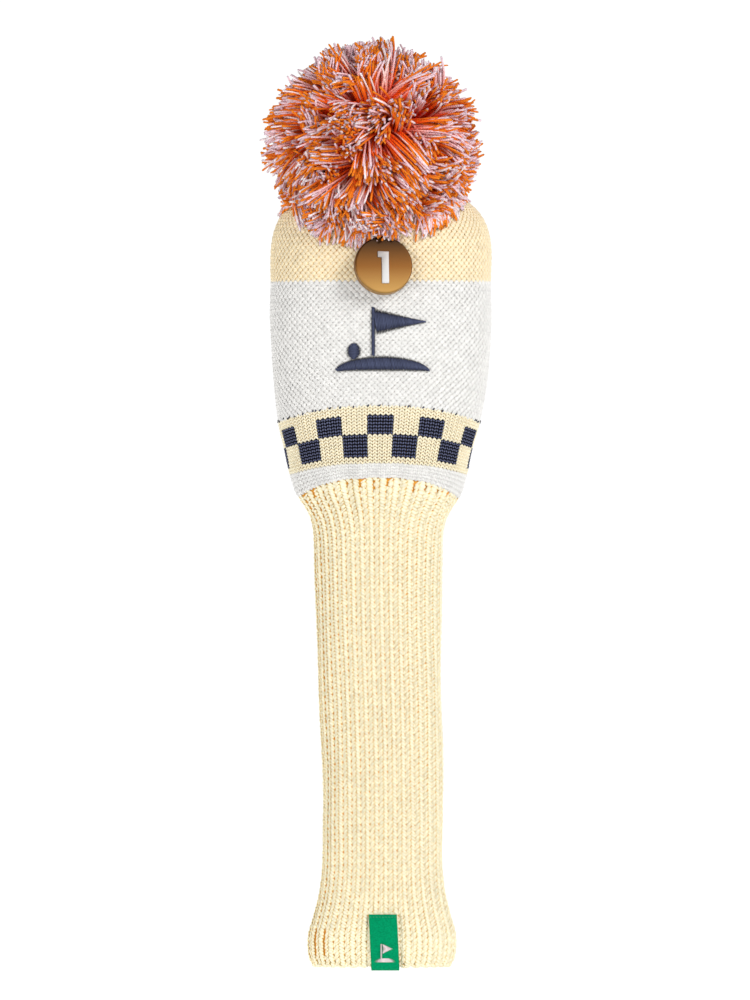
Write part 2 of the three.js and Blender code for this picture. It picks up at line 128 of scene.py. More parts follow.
def unit(vectors):
    """The vectors, each at length 1."""
    return vectors / np.maximum(np.linalg.norm(vectors, axis=-1, keepdims=True), 1e-12)


# ---------------------------------------------------------------- the knit's surface, from the frame
TUBE_NODES = ("hem_cuff", "rib_sleeve", "neck_flare", "lower_white_band", "checker_band", "white_panel")
ON_AXIS = 0.3 * MM  # a CAD vertex this near an axis plane counts as on it
SAME_LEVEL = 1 * MM  # CAD vertices closer in height than this are one level of the outline


def cad_points(node):
    """The vertices of a CAD node, as an array of points."""
    mesh = frame["nodes"][node].data
    flat = np.zeros(len(mesh.vertices) * 3, np.float32)
    mesh.vertices.foreach_get("co", flat)
    return flat.reshape(-1, 3).astype(float)


def outline(axis):
    """Heights and outer half sizes of the tube, where it crosses the X (0) or Y (1) axis plane."""
    points = np.concatenate([cad_points(node) for node in TUBE_NODES])
    points = points[np.abs(points[:, 1 - axis]) < ON_AXIS]
    points = points[np.argsort(points[:, 2])]
    heights, sizes = [], []
    for height, size in zip(points[:, 2], np.abs(points[:, axis])):
        if heights and height - heights[-1] < SAME_LEVEL:
            sizes[-1] = max(sizes[-1], size)
        else:
            heights.append(height)
            sizes.append(size)
    return np.array(heights), np.array(sizes)


def smooth_through(xs, ys, x):
    """A cubic curve through the points (xs, ys), read at x and held level past both ends."""
    x = np.clip(x, xs[0], xs[-1])
    slopes = np.gradient(ys, xs)
    i = np.clip(np.searchsorted(xs, x) - 1, 0, len(xs) - 2)
    span = xs[i + 1] - xs[i]
    t = (x - xs[i]) / span
    bend = (1 - t) * slopes[i] - t * slopes[i + 1]
    return (1 + 2 * t) * (1 - t) ** 2 * ys[i] + t**2 * (3 - 2 * t) * ys[i + 1] + span * t * (1 - t) * bend


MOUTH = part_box("hem_cuff")[0].z
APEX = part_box("crown_panel")[1].z
DOME_START = APEX - DOME_RISE

tube_heights = np.arange(MOUTH, DOME_START, 1 * MM)
dome_turn = np.linspace(0, np.pi / 2, 160)
dome_shrink = np.maximum(np.cos(dome_turn), 1e-9) ** (2 / DOME_EXPONENT)
dome_heights = DOME_START + DOME_RISE * np.sin(dome_turn) ** (2 / DOME_EXPONENT)
HEIGHT = np.concatenate([tube_heights, dome_heights])
SHRINK = np.concatenate([np.ones(len(tube_heights)), dome_shrink])
HALF_X = smooth_through(*outline(0), HEIGHT) * SHRINK
HALF_Y = smooth_through(*outline(1), HEIGHT) * SHRINK
inward = np.diff((HALF_X + HALF_Y) / 2) * (SHRINK[1:] < 1)
S = np.append(0, np.cumsum(np.hypot(np.diff(HEIGHT), inward)))

RING = 720  # columns of the tables of the tube's section


def unit_rings():
    """The tube's section at each level, over its half sizes, at even steps of length; and its length."""
    angle = np.linspace(0, 2 * np.pi, 4 * RING + 1)
    power = 2 / SECTION_EXPONENT
    x = np.sign(np.sin(angle)) * np.abs(np.sin(angle)) ** power
    y = -np.sign(np.cos(angle)) * np.abs(np.cos(angle)) ** power
    steps = np.linspace(0, 1, RING + 1)
    rings_x, rings_y, lengths = [], [], []
    for half_x, half_y in zip(HALF_X, HALF_Y):
        length = np.append(0, np.cumsum(np.hypot(np.diff(x) * half_x, np.diff(y) * half_y)))
        rings_x.append(np.interp(steps, length / length[-1], x))
        rings_y.append(np.interp(steps, length / length[-1], y))
        lengths.append(length[-1])
    return np.array(rings_x), np.array(rings_y), np.array(lengths)


UNIT_X, UNIT_Y, GIRTH = unit_rings()


def read_ring(table, u, s):
    """A value of a section table at (u, s), between its rows and columns."""
    row = np.interp(s, S, np.arange(len(S)))
    column = (u % 1.0) * RING
    r = np.minimum(row.astype(int), len(S) - 2)
    c = np.minimum(column.astype(int), RING - 1)
    up = row - r
    over = column - c
    lower = (1 - over) * table[r, c] + over * table[r, c + 1]
    upper = (1 - over) * table[r + 1, c] + over * table[r + 1, c + 1]
    return (1 - up) * lower + up * upper


def girth(s):
    """The tube's length round at s."""
    return np.interp(s, S, GIRTH)


def crown_share(s):
    """How far the dome has closed at s: 1 at its foot, 0 at the apex."""
    return np.interp(s, S, SHRINK)


def crown_level(share):
    """The s at which the dome has closed to a share of its foot."""
    return np.interp(share, SHRINK[::-1], S[::-1])


# The flat-laid cover isn't quite straight: its centre line wanders a little to both sides.
LEAN_S = np.array([0, 0.09, 0.2, 0.255, 0.3, 0.5])
LEAN_X = np.array([1.0, 1.3, -1.0, -0.9, 0, 0]) * MM


def plain_surface(u, s):
    """The tube's surface without ribs or ripples."""
    x = np.interp(s, S, HALF_X) * read_ring(UNIT_X, u, s) + smooth_through(LEAN_S, LEAN_X, s)
    y = np.interp(s, S, HALF_Y) * read_ring(UNIT_Y, u, s)
    return joined(x, y, np.interp(s, S, HEIGHT))


def axes_of(place_on, u, s):
    """Unit vectors round the tube, up its wall and out of it, on the surface that place_on(u, s) gives."""
    step_u = 0.0015
    step_s = 0.5 * MM
    level = np.clip(s, 2 * step_s, S[-1] - 2 * step_s)
    across = unit(place_on(u + step_u, level) - place_on(u - step_u, level))
    up = unit(place_on(u, level + step_s) - place_on(u, level - step_s))
    out = unit(np.cross(across, up))
    return across, unit(np.cross(out, across)), out


def edge(node):
    """A function of u: s along a band's top edge, from where its CAD node's top lies."""
    points = cad_points(node)
    side = points[np.abs(points[:, 1]) < ON_AXIS, 2].max()
    middle = points[np.abs(points[:, 0]) < ON_AXIS, 2].max()
    s_side, s_middle = np.interp([side, middle], HEIGHT, S)

    def along_top(u):
        front_share = np.abs(read_ring(UNIT_Y, u, np.full_like(u, s_side))) ** SECTION_EXPONENT
        return s_side + (s_middle - s_side) * front_share

    return along_top


def level_edge(s):
    """An edge that lies at the same s all round."""
    return lambda u: np.full_like(u, s)


def crown_back_start(u):
    """The crown's backing starts here, hidden under the crown's first row."""
    return PANEL_TOP(u) + 1.2 * MM


NECK_TOP = edge("neck_flare")
STRIP_TOP = edge("lower_white_band")
BAND_TOP = edge("checker_band")
PANEL_TOP = edge("white_panel")
HEM_TOP_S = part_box("hem_cuff")[1].z - MOUTH
SLEEVE_TOP_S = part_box("rib_sleeve")[1].z - MOUTH
CROWN_EYE_S = crown_level(0.1)  # the crown's stitches end here, round the tie
HEM_BACK_START = level_edge(2.6 * MM)
HEM_TOP = level_edge(HEM_TOP_S)
CROWN_EYE = level_edge(CROWN_EYE_S)
LINING_FOOT = level_edge(np.interp(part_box("head_lining")[0].z, HEIGHT, S))
LINING_ROOF = level_edge(crown_level(0.12))

ripples = rng(1)
WAVES_ROUND = ripples.integers(2, 9, 7)
WAVES_UP = ripples.uniform(-90, 90, 7)
WAVES_PHASE = ripples.uniform(0, 2 * np.pi, 7)
WAVE_SIZE = 0.13 * MM
CREASES = 14  # soft gathers where the head narrows into the neck
CREASE_SIZE = 0.7 * MM
CREASE_SPREAD = 14 * MM
CURL_SIZE = 1.5 * MM  # how far the mouth's edge is drawn in
CURL_HEIGHT = 6 * MM


def ripple(u, s):
    """The knit's slight unevenness, with soft gathers round the neck."""
    turns = 2 * np.pi * u[..., None] * WAVES_ROUND + s[..., None] * WAVES_UP + WAVES_PHASE
    waves = WAVE_SIZE * np.sin(turns).sum(axis=-1)
    gather = np.exp(-(((s - NECK_TOP(u)) / CREASE_SPREAD) ** 2))
    phase = 2 * np.pi * CREASES * u + 1.7 * np.sin(2 * np.pi * 3 * u)
    return waves + CREASE_SIZE * gather * np.sin(phase)


def rib_phase(u):
    """Position across a rib: 0 in the groove on its left, 0.5 on its crest, 1 in the next groove."""
    return u * RIBS - RIB_SHIFT + 0.5


def rib_relief(u, s):
    """How far the ribbing sinks below the surface: deep in the grooves, nothing on the crests."""
    fade = np.clip((NECK_TOP(u) - s) / RIB_FADE, 0, 1)
    groove = np.cos(np.pi * rib_phase(u)) ** 6
    return -RIB_DEPTH * groove * fade * fade * (3 - 2 * fade)


def knit_surface(u, s):
    """The knit's surface with its ripples and ribs, and the mouth's edge drawn in."""
    _, _, out = axes_of(plain_surface, u, s)
    curl = -CURL_SIZE * np.clip(1 - s / CURL_HEIGHT, 0, 1) ** 2
    return plain_surface(u, s) + out * (ripple(u, s) + rib_relief(u, s) + curl)[..., None]


# ---------------------------------------------------------------- meshes and strands
def new_mesh(name, points, corners, material, counts=None, values=(), maps=()):
    """A smooth mesh object from arrays, with point values and UV maps. Its faces are quads if not counted."""
    if counts is None:
        counts = np.full(corners.size // 4, 4)
    mesh = bpy.data.meshes.new(name)
    mesh.vertices.add(len(points))
    mesh.vertices.foreach_set("co", points.astype(np.float32).ravel())
    mesh.loops.add(corners.size)
    mesh.loops.foreach_set("vertex_index", corners.astype(np.int32).ravel())
    mesh.polygons.add(len(counts))
    starts = np.append(0, np.cumsum(counts)[:-1])
    mesh.polygons.foreach_set("loop_start", starts.astype(np.int32))
    mesh.polygons.foreach_set("use_smooth", np.ones(len(counts), bool))
    for map_name, uv in maps:
        mesh.uv_layers.new(name=map_name).data.foreach_set("uv", uv.astype(np.float32).ravel())
    for value_name, value in values:
        layer = mesh.attributes.new(value_name, "FLOAT", "POINT")
        layer.data.foreach_set("value", value.astype(np.float32).ravel())
    mesh.update(calc_edges=True)
    mesh.materials.append(material)
    thing = bpy.data.objects.new(name, mesh)
    bpy.context.scene.collection.objects.link(thing)
    return thing


def grid_faces(rows, columns, closed=False):
    """The quads of a tube of rows of points: their corners, and each corner's steps round and along it.

    A closed tube's last row joins its first.
    """
    i, j = np.indices((rows - 1 + closed, columns))
    k = (j + 1) % columns
    above = (i + 1) % rows
    corners = joined(i * columns + j, i * columns + k, above * columns + k, above * columns + j)
    steps = joined(joined(j, j + 1, j + 1, j), joined(i, i, i + 1, i + 1))
    return corners, steps


def strand_points(path, side, up, half_width, half_height, sides):
    """Vertices of closed strands: an ellipse round each inner point of the path, one vertex at each end."""
    turn = np.arange(sides) * 2 * np.pi / sides
    inner = path[:, 1:-1, None, :]
    inner = inner + side[..., None, :] * (half_width[..., None] * np.cos(turn))[..., None]
    inner = inner + up[..., None, :] * (half_height[..., None] * np.sin(turn))[..., None]
    return np.concatenate([path[:, :1], inner.reshape(len(path), -1, 3), path[:, -1:]], axis=1)


def tube_points(path, reference, half_width, half_height, sides):
    """Vertices of closed strands along the paths, whose sides lie square to the reference directions."""
    tangent = unit(np.gradient(path, axis=1))
    side = unit(np.cross(tangent, reference))
    up = np.cross(side, tangent)
    return strand_points(path, side[:, 1:-1], up[:, 1:-1], half_width, half_height, sides)


def strand_faces(rings, sides):
    """Corners of one strand's faces: vertex numbers, UVs (round, along) and the corner count of each face."""
    quads, steps = grid_faces(rings, sides)
    j = np.arange(sides)
    k = (j + 1) % sides
    last = 1 + rings * sides
    first_fan = joined(0, 1 + k, 1 + j)
    last_fan = joined(last - sides + j, last - sides + k, last)
    first_uvs = joined(joined(j + 0.5, j + 1, j), [0, 1, 1])
    last_uvs = joined(joined(j, j + 1, j + 0.5), [rings, rings, rings + 1])
    corners = np.concatenate([first_fan.ravel(), 1 + quads.ravel(), last_fan.ravel()])
    uvs = np.concatenate([uv.reshape(-1, 2) for uv in (first_uvs, steps + [0, 1], last_uvs)])
    counts = np.repeat([3, 4, 3], [sides, (rings - 1) * sides, sides])
    return corners, uvs / [sides, rings + 1], counts


def strand_piece(name, points, rings, sides, depth, tint, material):
    """One piece made of many strands. points is (strands, vertices, 3); depth, which the yarn turns into
    painted shade and highlight, has a value per vertex.
    """
    strands, per_strand = points.shape[:2]
    corners, uvs, counts = strand_faces(rings, sides)
    all_corners = np.arange(strands)[:, None] * per_strand + corners
    cells = int(np.ceil(np.sqrt(strands)))
    cell = joined(np.arange(strands) % cells, np.arange(strands) // cells)
    margin = 0.08
    atlas = (cell[:, None, :] + margin + (1 - 2 * margin) * uvs) / cells
    values = [("depth", np.broadcast_to(depth, (strands, per_strand))), ("tint", np.repeat(tint, per_strand))]
    maps = [("OFBake", atlas), ("yarn", np.broadcast_to(uvs, (strands, *uvs.shape)))]
    return new_mesh(
        name, points.reshape(-1, 3), all_corners, material, np.tile(counts, strands), values, maps
    )


LEG_RINGS = 4
LEG_SIDES = 6
LEG_T = np.linspace(-1, 1, LEG_RINGS + 2)
LEG_SHAPE = (1 - np.abs(LEG_T) ** 2.6) ** 0.5  # thickness along a stitch's leg, over its middle


def legs(centre, along, across, out, length, width, height, arch, tilt=0.0, bend=0.0):
    """Vertices of stitch legs: tapered grains whose ends dip into the fabric. All sizes may be per leg."""

    def column(value):
        return np.broadcast_to(np.asarray(value, float), (len(centre),))[:, None, None]

    t = LEG_T[None, :, None]
    path = centre[:, None] + along[:, None] * column(length) / 2 * t
    path = path + out[:, None] * (column(arch) * (1 - t * t) - column(arch) / 2 + column(tilt) * t)
    path = path + across[:, None] * column(bend) * (1 - t * t)
    shape = LEG_SHAPE[None, 1:-1]
    half_width = column(width)[..., 0] / 2 * shape
    half_height = column(height)[..., 0] / 2 * shape
    return strand_points(path, across[:, None], out[:, None], half_width, half_height, LEG_SIDES)


def laid_legs(u, s, lean, lift, **sizes):
    """Vertices of stitch legs laid on the knit. lean is their way (round, up), lift how far out they lie."""
    across, up, out = axes_of(knit_surface, u, s)
    along = unit(across * lean[:, :1] + up * lean[:, 1:])
    centre = knit_surface(u, s) + out * np.reshape(lift, (-1, 1))
    return legs(centre, along, np.cross(out, along), out, **sizes)


def leg_painted_shade():
    """The depth value at each vertex of a leg, from which the yarn paints shade and highlight: 0 at the
    sunken ends and flanks, 1 on the crown.
    """
    height = np.sin(np.arange(LEG_SIDES) * 2 * np.pi / LEG_SIDES)
    middle = 1 - LEG_T[1:-1, None] ** 2
    inner = np.clip(0.35 + 0.65 * height[None], 0, 1) * (0.45 + 0.55 * middle)
    return np.concatenate([[0], inner.ravel(), [0]])


def leg_piece(name, points, material, random):
    """A piece made of stitch legs."""
    tint = random.uniform(-1, 1, len(points))
    return strand_piece(name, points, LEG_RINGS, LEG_SIDES, leg_painted_shade(), tint, material)


# ---------------------------------------------------------------- materials
def srgb(red, green, blue):
    """A linear colour from 0..255 display values."""
    value = np.array([red, green, blue]) / 255
    linear = np.where(value <= 0.04045, value / 12.92, ((value + 0.055) / 1.055) ** 2.4)
    return (*linear, 1.0)


class Nodes:
    """A node tree, with short ways to add and join its nodes."""

    def __init__(self, tree):
        self.tree = tree

    def node(self, kind, inputs=(), **settings):
        node = self.tree.nodes.new("ShaderNode" + kind)
        for key, value in settings.items():
            setattr(node, key, value)
        for socket, value in dict(inputs).items():
            self.feed(node.inputs[socket], value)
        return node

    def feed(self, socket, value):
        """Joins an output socket to an input socket, or sets the input to a number."""
        if isinstance(value, bpy.types.NodeSocket):
            self.tree.links.new(value, socket)
        else:
            socket.default_value = value

    def math(self, operation, a, b=0.0, c=0.0):
        return self.node("Math", {0: a, 1: b, 2: c}, operation=operation).outputs[0]

    def spread(self, value, low, high, start=0.0, end=1.0):
        """The value's stretch from start to end, spread over low to high."""
        inputs = {"Value": value, "From Min": start, "From Max": end, "To Min": low, "To Max": high}
        return self.node("MapRange", inputs).outputs["Result"]

    def part(self, vector, index):
        """One coordinate of a vector."""
        return self.node("SeparateXYZ", {0: vector}).outputs[index]

    def coords(self, kind="Object"):
        return self.node("TexCoord").outputs[kind]


class Shader(Nodes):
    """A material under construction, round its Principled shader."""

    def __init__(self, name, roughness, specular, **fixed):
        self.material = bpy.data.materials.new(name)
        self.material.use_nodes = True
        super().__init__(self.material.node_tree)
        self.surface = self.tree.nodes["Principled BSDF"].inputs
        self.surface["Roughness"].default_value = roughness
        self.surface["Specular IOR Level"].default_value = specular
        for socket, value in fixed.items():
            self.surface[socket.replace("_", " ")].default_value = value

    def value(self, name):
        return self.node("Attribute", attribute_name=name).outputs["Fac"]

    def yarn_map(self):
        return self.node("UVMap", uv_map="yarn").outputs[0]

    def noise(self, scale, detail=3.0, roughness=0.6, coords=None):
        inputs = {"Vector": coords or self.coords(), "Scale": scale, "Detail": detail, "Roughness": roughness}
        return self.node("TexNoise", inputs).outputs["Fac"]

    def ramp(self, fac, *stops):
        """A colour ramp through stops of a position and a 0..255 display colour."""
        node = self.node("ValToRGB", {"Fac": fac})
        elements = node.color_ramp.elements
        while len(elements) < len(stops):
            elements.new(0.5)
        for element, (position, colour) in zip(elements, stops):
            element.position = position
            element.color = srgb(*colour)
        return node.outputs["Color"]

    def shade(self, colour, factor):
        """The colour times a factor, given as a socket or number."""
        return self.node("HueSaturation", {"Value": factor, "Color": colour}).outputs["Color"]

    def bump(self, height, distance, strength=1.0, normal=None):
        node = self.node("Bump", {"Height": height, "Distance": distance, "Strength": strength})
        if normal is not None:
            self.feed(node.inputs["Normal"], normal)
        return node.outputs["Normal"]

    def finish(self, colour, **others):
        self.feed(self.surface["Base Color"], colour)
        for socket, value in others.items():
            self.feed(self.surface[socket], value)
        return self.material


PLIES = 2  # strands twisted into one yarn


def yarn(name, deep, body, light, twist=3.0, tint=0.05, sheen=0.12, mottling=0.07, turn=0.45, shine=0.2):
    """Spun yarn: painted shade in the gaps, a painted highlight on top, twisted plies, loose fibres, slight
    mottling.
    """
    shader = Shader(name, roughness=0.85, specular=shine, Sheen_Weight=sheen, Sheen_Roughness=0.45)
    # Painted shade in the gaps and a painted highlight on top, read from the depth value on the mesh.
    colour = shader.ramp(shader.value("depth"), (0.0, deep), (turn, body), (1.0, light))
    mottle = shader.spread(shader.noise(2600.0 if mottling > 0.1 else 900.0), 1 - mottling, 1 + mottling)
    colour = shader.shade(colour, shader.math("MULTIPLY_ADD", shader.value("tint"), tint, mottle))
    uv = shader.yarn_map()
    turns = shader.math("MULTIPLY", shader.part(uv, 0), 2 * np.pi * PLIES)
    turns = shader.math("MULTIPLY_ADD", shader.part(uv, 1), 2 * np.pi * twist, turns)
    plies = shader.bump(shader.math("SINE", turns), 0.07 * MM)
    fibres = shader.bump(shader.noise(5000.0, detail=2.0), 0.04 * MM, normal=plies)
    return shader.finish(colour, Normal=fibres)


def grained(name, low, high, scale, grain_scale, grain_height, **look):
    """Two tones in soft patches over a fine grain."""
    shader = Shader(name, **look)
    colour = shader.ramp(shader.noise(scale), (0.3, low), (0.7, high))
    return shader.finish(colour, Normal=shader.bump(shader.noise(grain_scale), grain_height))


def backing(name, low, high):
    """The inner face of a knit, seen only between its stitches. Behind the yellow and checker knits its
    darker orange and brown are painted shade.
    """
    look = dict(roughness=0.95, specular=0.1, Sheen_Weight=0.2)
    return grained(name, low, high, 600.0, 1500.0, 0.15 * MM, **look)


def moulded(name, low, high, roughness):
    return grained(name, low, high, 300.0, 2500.0, 0.03 * MM, roughness=roughness, specular=0.5)


def metal(name, dark, body, light, roughness, node=None):
    """Plated metal with a fine grain. With a node, it runs from light at the node's foot to dark on its top,
    as painted shade; without one, its tone varies at random.
    """
    shader = Shader(name, roughness=roughness, specular=0.5, Metallic=0.8)
    coords = shader.coords()
    stretched = shader.node("Mapping", {0: coords, 3: (60.0, 60.0, 4000.0)}).outputs[0]
    grain = shader.noise(1.0, coords=stretched)
    if node:
        # Painted shade: darker towards the top, where shadow falls on the badge.
        low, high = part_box(node)
        painted_shade_and_tone = shader.spread(shader.part(coords, 2), 0.0, 1.0, high.z, low.z)
    else:
        painted_shade_and_tone = shader.spread(shader.noise(45.0, detail=2.0), 0.0, 1.0, 0.3, 0.7)
    colour = shader.ramp(painted_shade_and_tone, (0.0, dark), (0.5, body), (1.0, light))
    colour = shader.shade(colour, shader.spread(grain, 0.92, 1.08))
    rough = shader.spread(grain, roughness - 0.07, roughness + 0.09)
    return shader.finish(colour, Normal=shader.bump(grain, 0.015 * MM, 0.4), Roughness=rough)


def woven(name, dark, body):
    """A woven ribbon: fine weft ribs across it and a crossing warp."""
    shader = Shader(name, roughness=0.8, specular=0.04, Sheen_Weight=0.0, Sheen_Roughness=0.35)
    uv = shader.yarn_map()
    weft = shader.math("SINE", shader.math("MULTIPLY", shader.part(uv, 1), 2 * np.pi / (0.36 * MM)))
    warp = shader.math("SINE", shader.math("MULTIPLY", shader.part(uv, 0), 2 * np.pi / (0.3 * MM)))
    weave = shader.math("MULTIPLY", weft, warp)
    colour = shader.ramp(shader.math("MULTIPLY_ADD", weave, 0.5, 0.5), (0.0, dark), (1.0, body))
    colour = shader.shade(colour, shader.spread(shader.noise(1100.0, roughness=0.8), 0.3, 1.7))
    return shader.finish(colour, Normal=shader.bump(weave, 0.05 * MM))


# The navy's turn keeps its painted highlight on the stitches' tops only.
NAVY_LOOK = dict(sheen=0.0, turn=0.76, shine=0.02)
THREAD_LOOK = dict(sheen=0.0, tint=0.16, mottling=0.55)
POM_LOOK = dict(twist=26.0, sheen=0.02)

# Each yarn's colours: in the gaps (painted shade, deeper and more saturated, as where light bounces between
# yarns), its body, and on top (a painted highlight).
YELLOW = yarn("yellow_yarn", (246, 198, 84), (247, 235, 190), (251, 244, 222))
CROWN_YELLOW = yarn("crown_yarn", (242, 182, 84), (243, 221, 174), (249, 235, 206))
BAND_YELLOW = yarn("band_yarn", (204, 128, 50), (244, 229, 189), (254, 248, 226))
WHITE = yarn("white_yarn", (219, 215, 211), (230, 228, 225), (236, 235, 232))
NAVY = yarn("navy_yarn", (1, 1, 2), (7, 6, 9), (130, 136, 170), **NAVY_LOOK)
NAVY_THREAD = yarn("navy_thread", (8, 7, 12), (27, 27, 39), (80, 87, 116), **THREAD_LOOK)
ORANGE_POM = yarn("pom_orange_yarn", (255, 62, 4), (244, 92, 10), (242, 138, 32), **POM_LOOK)
PINK_POM = yarn("pom_pink_yarn", (252, 78, 26), (242, 160, 146), (240, 216, 228), **POM_LOOK)
PALE_POM = yarn("pom_white_yarn", (250, 110, 60), (246, 200, 190), (250, 240, 244), **POM_LOOK)
CORD = yarn("cord_yarn", (150, 130, 96), (214, 202, 170), (232, 224, 200), twist=20.0)
LABEL_THREAD = yarn("label_thread", (6, 118, 74), (16, 146, 96), (52, 172, 126))
MOTIF_THREAD = yarn("motif_thread", (206, 186, 188), (234, 216, 218), (246, 234, 234))
# Painted shade: the yellow, crown and checker backings are darker and more orange than their yarns, as the
# gaps look in shade.
YELLOW_GAP_SHADE = backing("yellow_painted_gap_shade", (238, 158, 50), (242, 182, 74))
CROWN_GAP_SHADE = backing("crown_painted_gap_shade", (238, 160, 62), (242, 186, 92))
WHITE_BACK = backing("white_backing", (224, 221, 217), (232, 230, 227))
BAND_GAP_SHADE = backing("band_painted_gap_shade", (100, 62, 34), (146, 98, 52))
FLEECE = backing("lining_fleece", (206, 200, 188), (232, 228, 220))
# The badge's gold and silver darken towards their tops: painted shade.
GOLD = metal("badge_gold", (20, 11, 5), (124, 79, 32), (176, 137, 76), 0.42, "badge_cap")
SILVER = metal("badge_silver", (166, 158, 154), (188, 186, 184), (208, 207, 207), 0.55, "badge_number")
STEEL = metal("rivet_steel", (120, 120, 120), (150, 150, 150), (176, 176, 176), 0.32)
GREEN = woven("label_green", (0, 128, 82), (0, 168, 112))
PLASTIC = moulded("anchor_plastic", (206, 200, 188), (226, 222, 212), 0.45)
SHEET = moulded("backing_sheet", (226, 224, 218), (240, 238, 234), 0.8)


# ---------------------------------------------------------------- placing pieces
# Two bodies, and the points between which a piece would bend from one to the other; here such a piece is only
# baked in place, and the points are not read.
NECK_BEND = ("head", "sleeve", (0, 0, -0.150), (0, 0, -0.196))
SKIRT_BEND = ("head", "pom_tie", (0, 0, 0.0), (0, 0, 0.03))


def place(piece, slot, body, *stands_for):
    """Attaches a piece to its body, or bakes it in place when given a bend, and hides the nodes it replaces.
    The slot is not used.
    """
    if isinstance(body, str):
        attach(piece, body)
    else:
        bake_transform(piece)
    if stands_for:
        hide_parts(*stands_for)


def shell(name, bottom, top, columns, row_height, depths, material):
    """A closed layer behind a band's stitches, between two edges given as functions of u."""
    u = np.linspace(0, 1, columns, endpoint=False)
    low, high = bottom(u), top(u)
    rows = max(3, int(round(np.max(high - low) / row_height)) + 1)
    s = low + (high - low) * np.linspace(0, 1, rows)[:, None]
    u = np.broadcast_to(u, s.shape)
    surface = knit_surface(u, s)
    _, _, out = axes_of(plain_surface, u, s)
    outer, inner = (surface - out * depth for depth in depths)
    points = np.concatenate([outer, inner[::-1]]).reshape(-1, 3)
    corners, steps = grid_faces(2 * rows, columns, closed=True)
    return new_mesh(name, points, corners, material, maps=[("OFBake", steps / [columns, 2 * rows])])


# ---------------------------------------------------------------- stitches in rows
SLANTED_LENGTH = 1.35  # over the step to the next stitch of the ridge
SLANTED_WIDTH = 1.34  # over the distance between ridges
SLANTED_LEG = dict(height=0.95 * MM, arch=0.28 * MM, tilt=0.08 * MM, bend=0.1 * MM)
V_SPREAD = 0.24  # from a V's middle to the middle of its legs, as a share of the column
V_SLANT = 0.6  # how far a leg runs sideways, as a share of the column
V_REACH = 1.4  # and down, as a share of the row
V_LEG = dict(height=1.3 * MM, arch=0.4 * MM, tilt=-0.12 * MM)
YELLOW_CHECK_WIDTH = 0.43  # widths of the legs, as shares of the column
NAVY_CHECK_WIDTH = 0.52
STRIP_WIDTH = 0.66
CHECK_SHIFT = 0.002  # the checker band's columns are turned this far to +X
SEAM_STITCHES = 150
WAY_SCATTER = 0.04  # how far the legs' ways stray


def scattered(ways, random):
    """The ways at length 1, each turned a little."""
    return unit(ways) + random.normal(0, WAY_SCATTER, ways.shape)


def stitch_places(bottom, top, rows, columns, stagger=0.0, shift=0.0, first_row=0):
    """Places of stitches in rows between two edges: u, s, column pitch, row height, row and column."""
    row, column = (index.ravel() for index in np.indices((rows, columns)))
    u = (column + stagger * ((row + first_row) % 2)) / columns + shift
    low, high = bottom(u), top(u)
    s = low + (high - low) * (row + 0.5) / rows
    return u, s, girth(s) / columns, (high - low) / rows, row + first_row, column


def slanted_places(bottom, top, rows, columns, random, first_row=0):
    """Places of staggered slanted stitches, slightly scattered, without their columns."""
    shift = random.normal(0, 0.00012, rows * columns)
    return stitch_places(bottom, top, rows, columns, 0.5, shift, first_row)[:5]


def slanted_piece(name, u, s, pitch, row_height, row, material, random):
    """Slanted stitches, chained into ridges that run down to +X; the odd rows lie a little deeper."""
    step = joined(0.5 * pitch, -row_height)
    reach = np.linalg.norm(step, axis=-1)
    ridge_gap = pitch * row_height / reach
    lean = step / reach[:, None] + random.normal(0, 0.035, step.shape)
    size = random.normal(1, 0.04, (2, len(u)))
    lift = random.normal(0, 0.03 * MM, len(u)) - ODD_ROW_SINK * (row % 2)
    length = reach * SLANTED_LENGTH * size[0]
    width = ridge_gap * SLANTED_WIDTH * size[1]
    points = laid_legs(u, s, lean, lift, length=length, width=width, **SLANTED_LEG)
    return leg_piece(name, points, material, random)


def v_piece(name, u, s, pitch, row_height, material, width, random):
    """Both legs of each V stitch as one piece, meeting at the top. The width is a share of the pitch."""
    u, s, pitch, row_height = (np.repeat(value, 2) for value in (u, s, pitch, row_height))
    sign = np.tile([-1.0, 1.0], len(u) // 2)
    u = u + sign * V_SPREAD * pitch / girth(s) + random.normal(0, 0.0001, u.shape)
    step = joined(sign * V_SLANT * pitch, -V_REACH * row_height)
    length = np.linalg.norm(step, axis=-1) * random.normal(1.05, 0.04, len(u))
    lean = scattered(step, random)
    lift = random.normal(0, 0.04 * MM, len(u))
    points = laid_legs(u, s, lean, lift, length=length, width=pitch * width, **V_LEG)
    return leg_piece(name, points, material, random)


def build_white_panel():
    random = rng(20)
    places = slanted_places(BAND_TOP, PANEL_TOP, PANEL_ROWS, PANEL_COLUMNS, random)
    stitches = slanted_piece("white_panel_stitches", *places, WHITE, random)
    place(stitches, "white_knit", "head", "white_panel")


WIDEST_STITCH = 4.2 * MM  # of the crown's, where its columns have been dropped
CROWN_COLUMNS = (
    # columns, and the shares of the dome's closing between which they run
    (PANEL_COLUMNS, 1.1, 0.62),
    (PANEL_COLUMNS // 2, 0.62, 0.3),
    (24, 0.3, 0),
)


def build_crown():
    """The crown's rows; where the dome closes, every second column is dropped, and then again."""
    random = rng(30)
    rows = int(round((CROWN_EYE_S - np.max(PANEL_TOP(np.linspace(0, 1, 50)))) / PANEL_ROW))
    rings = []
    for columns, most, least in CROWN_COLUMNS:
        places = slanted_places(PANEL_TOP, CROWN_EYE, rows, columns, random, PANEL_ROWS)
        share = crown_share(places[1])
        keep = (share <= most) & (share > least)
        rings.append([value[keep] for value in places])
    u, s, pitch, row_height, row = (np.concatenate(parts) for parts in zip(*rings))
    pitch = np.minimum(pitch, WIDEST_STITCH)
    stitches = slanted_piece("crown_stitches", u, s, pitch, row_height, row, CROWN_YELLOW, random)
    place(stitches, "yellow_crown_knit", "head", "crown_panel")


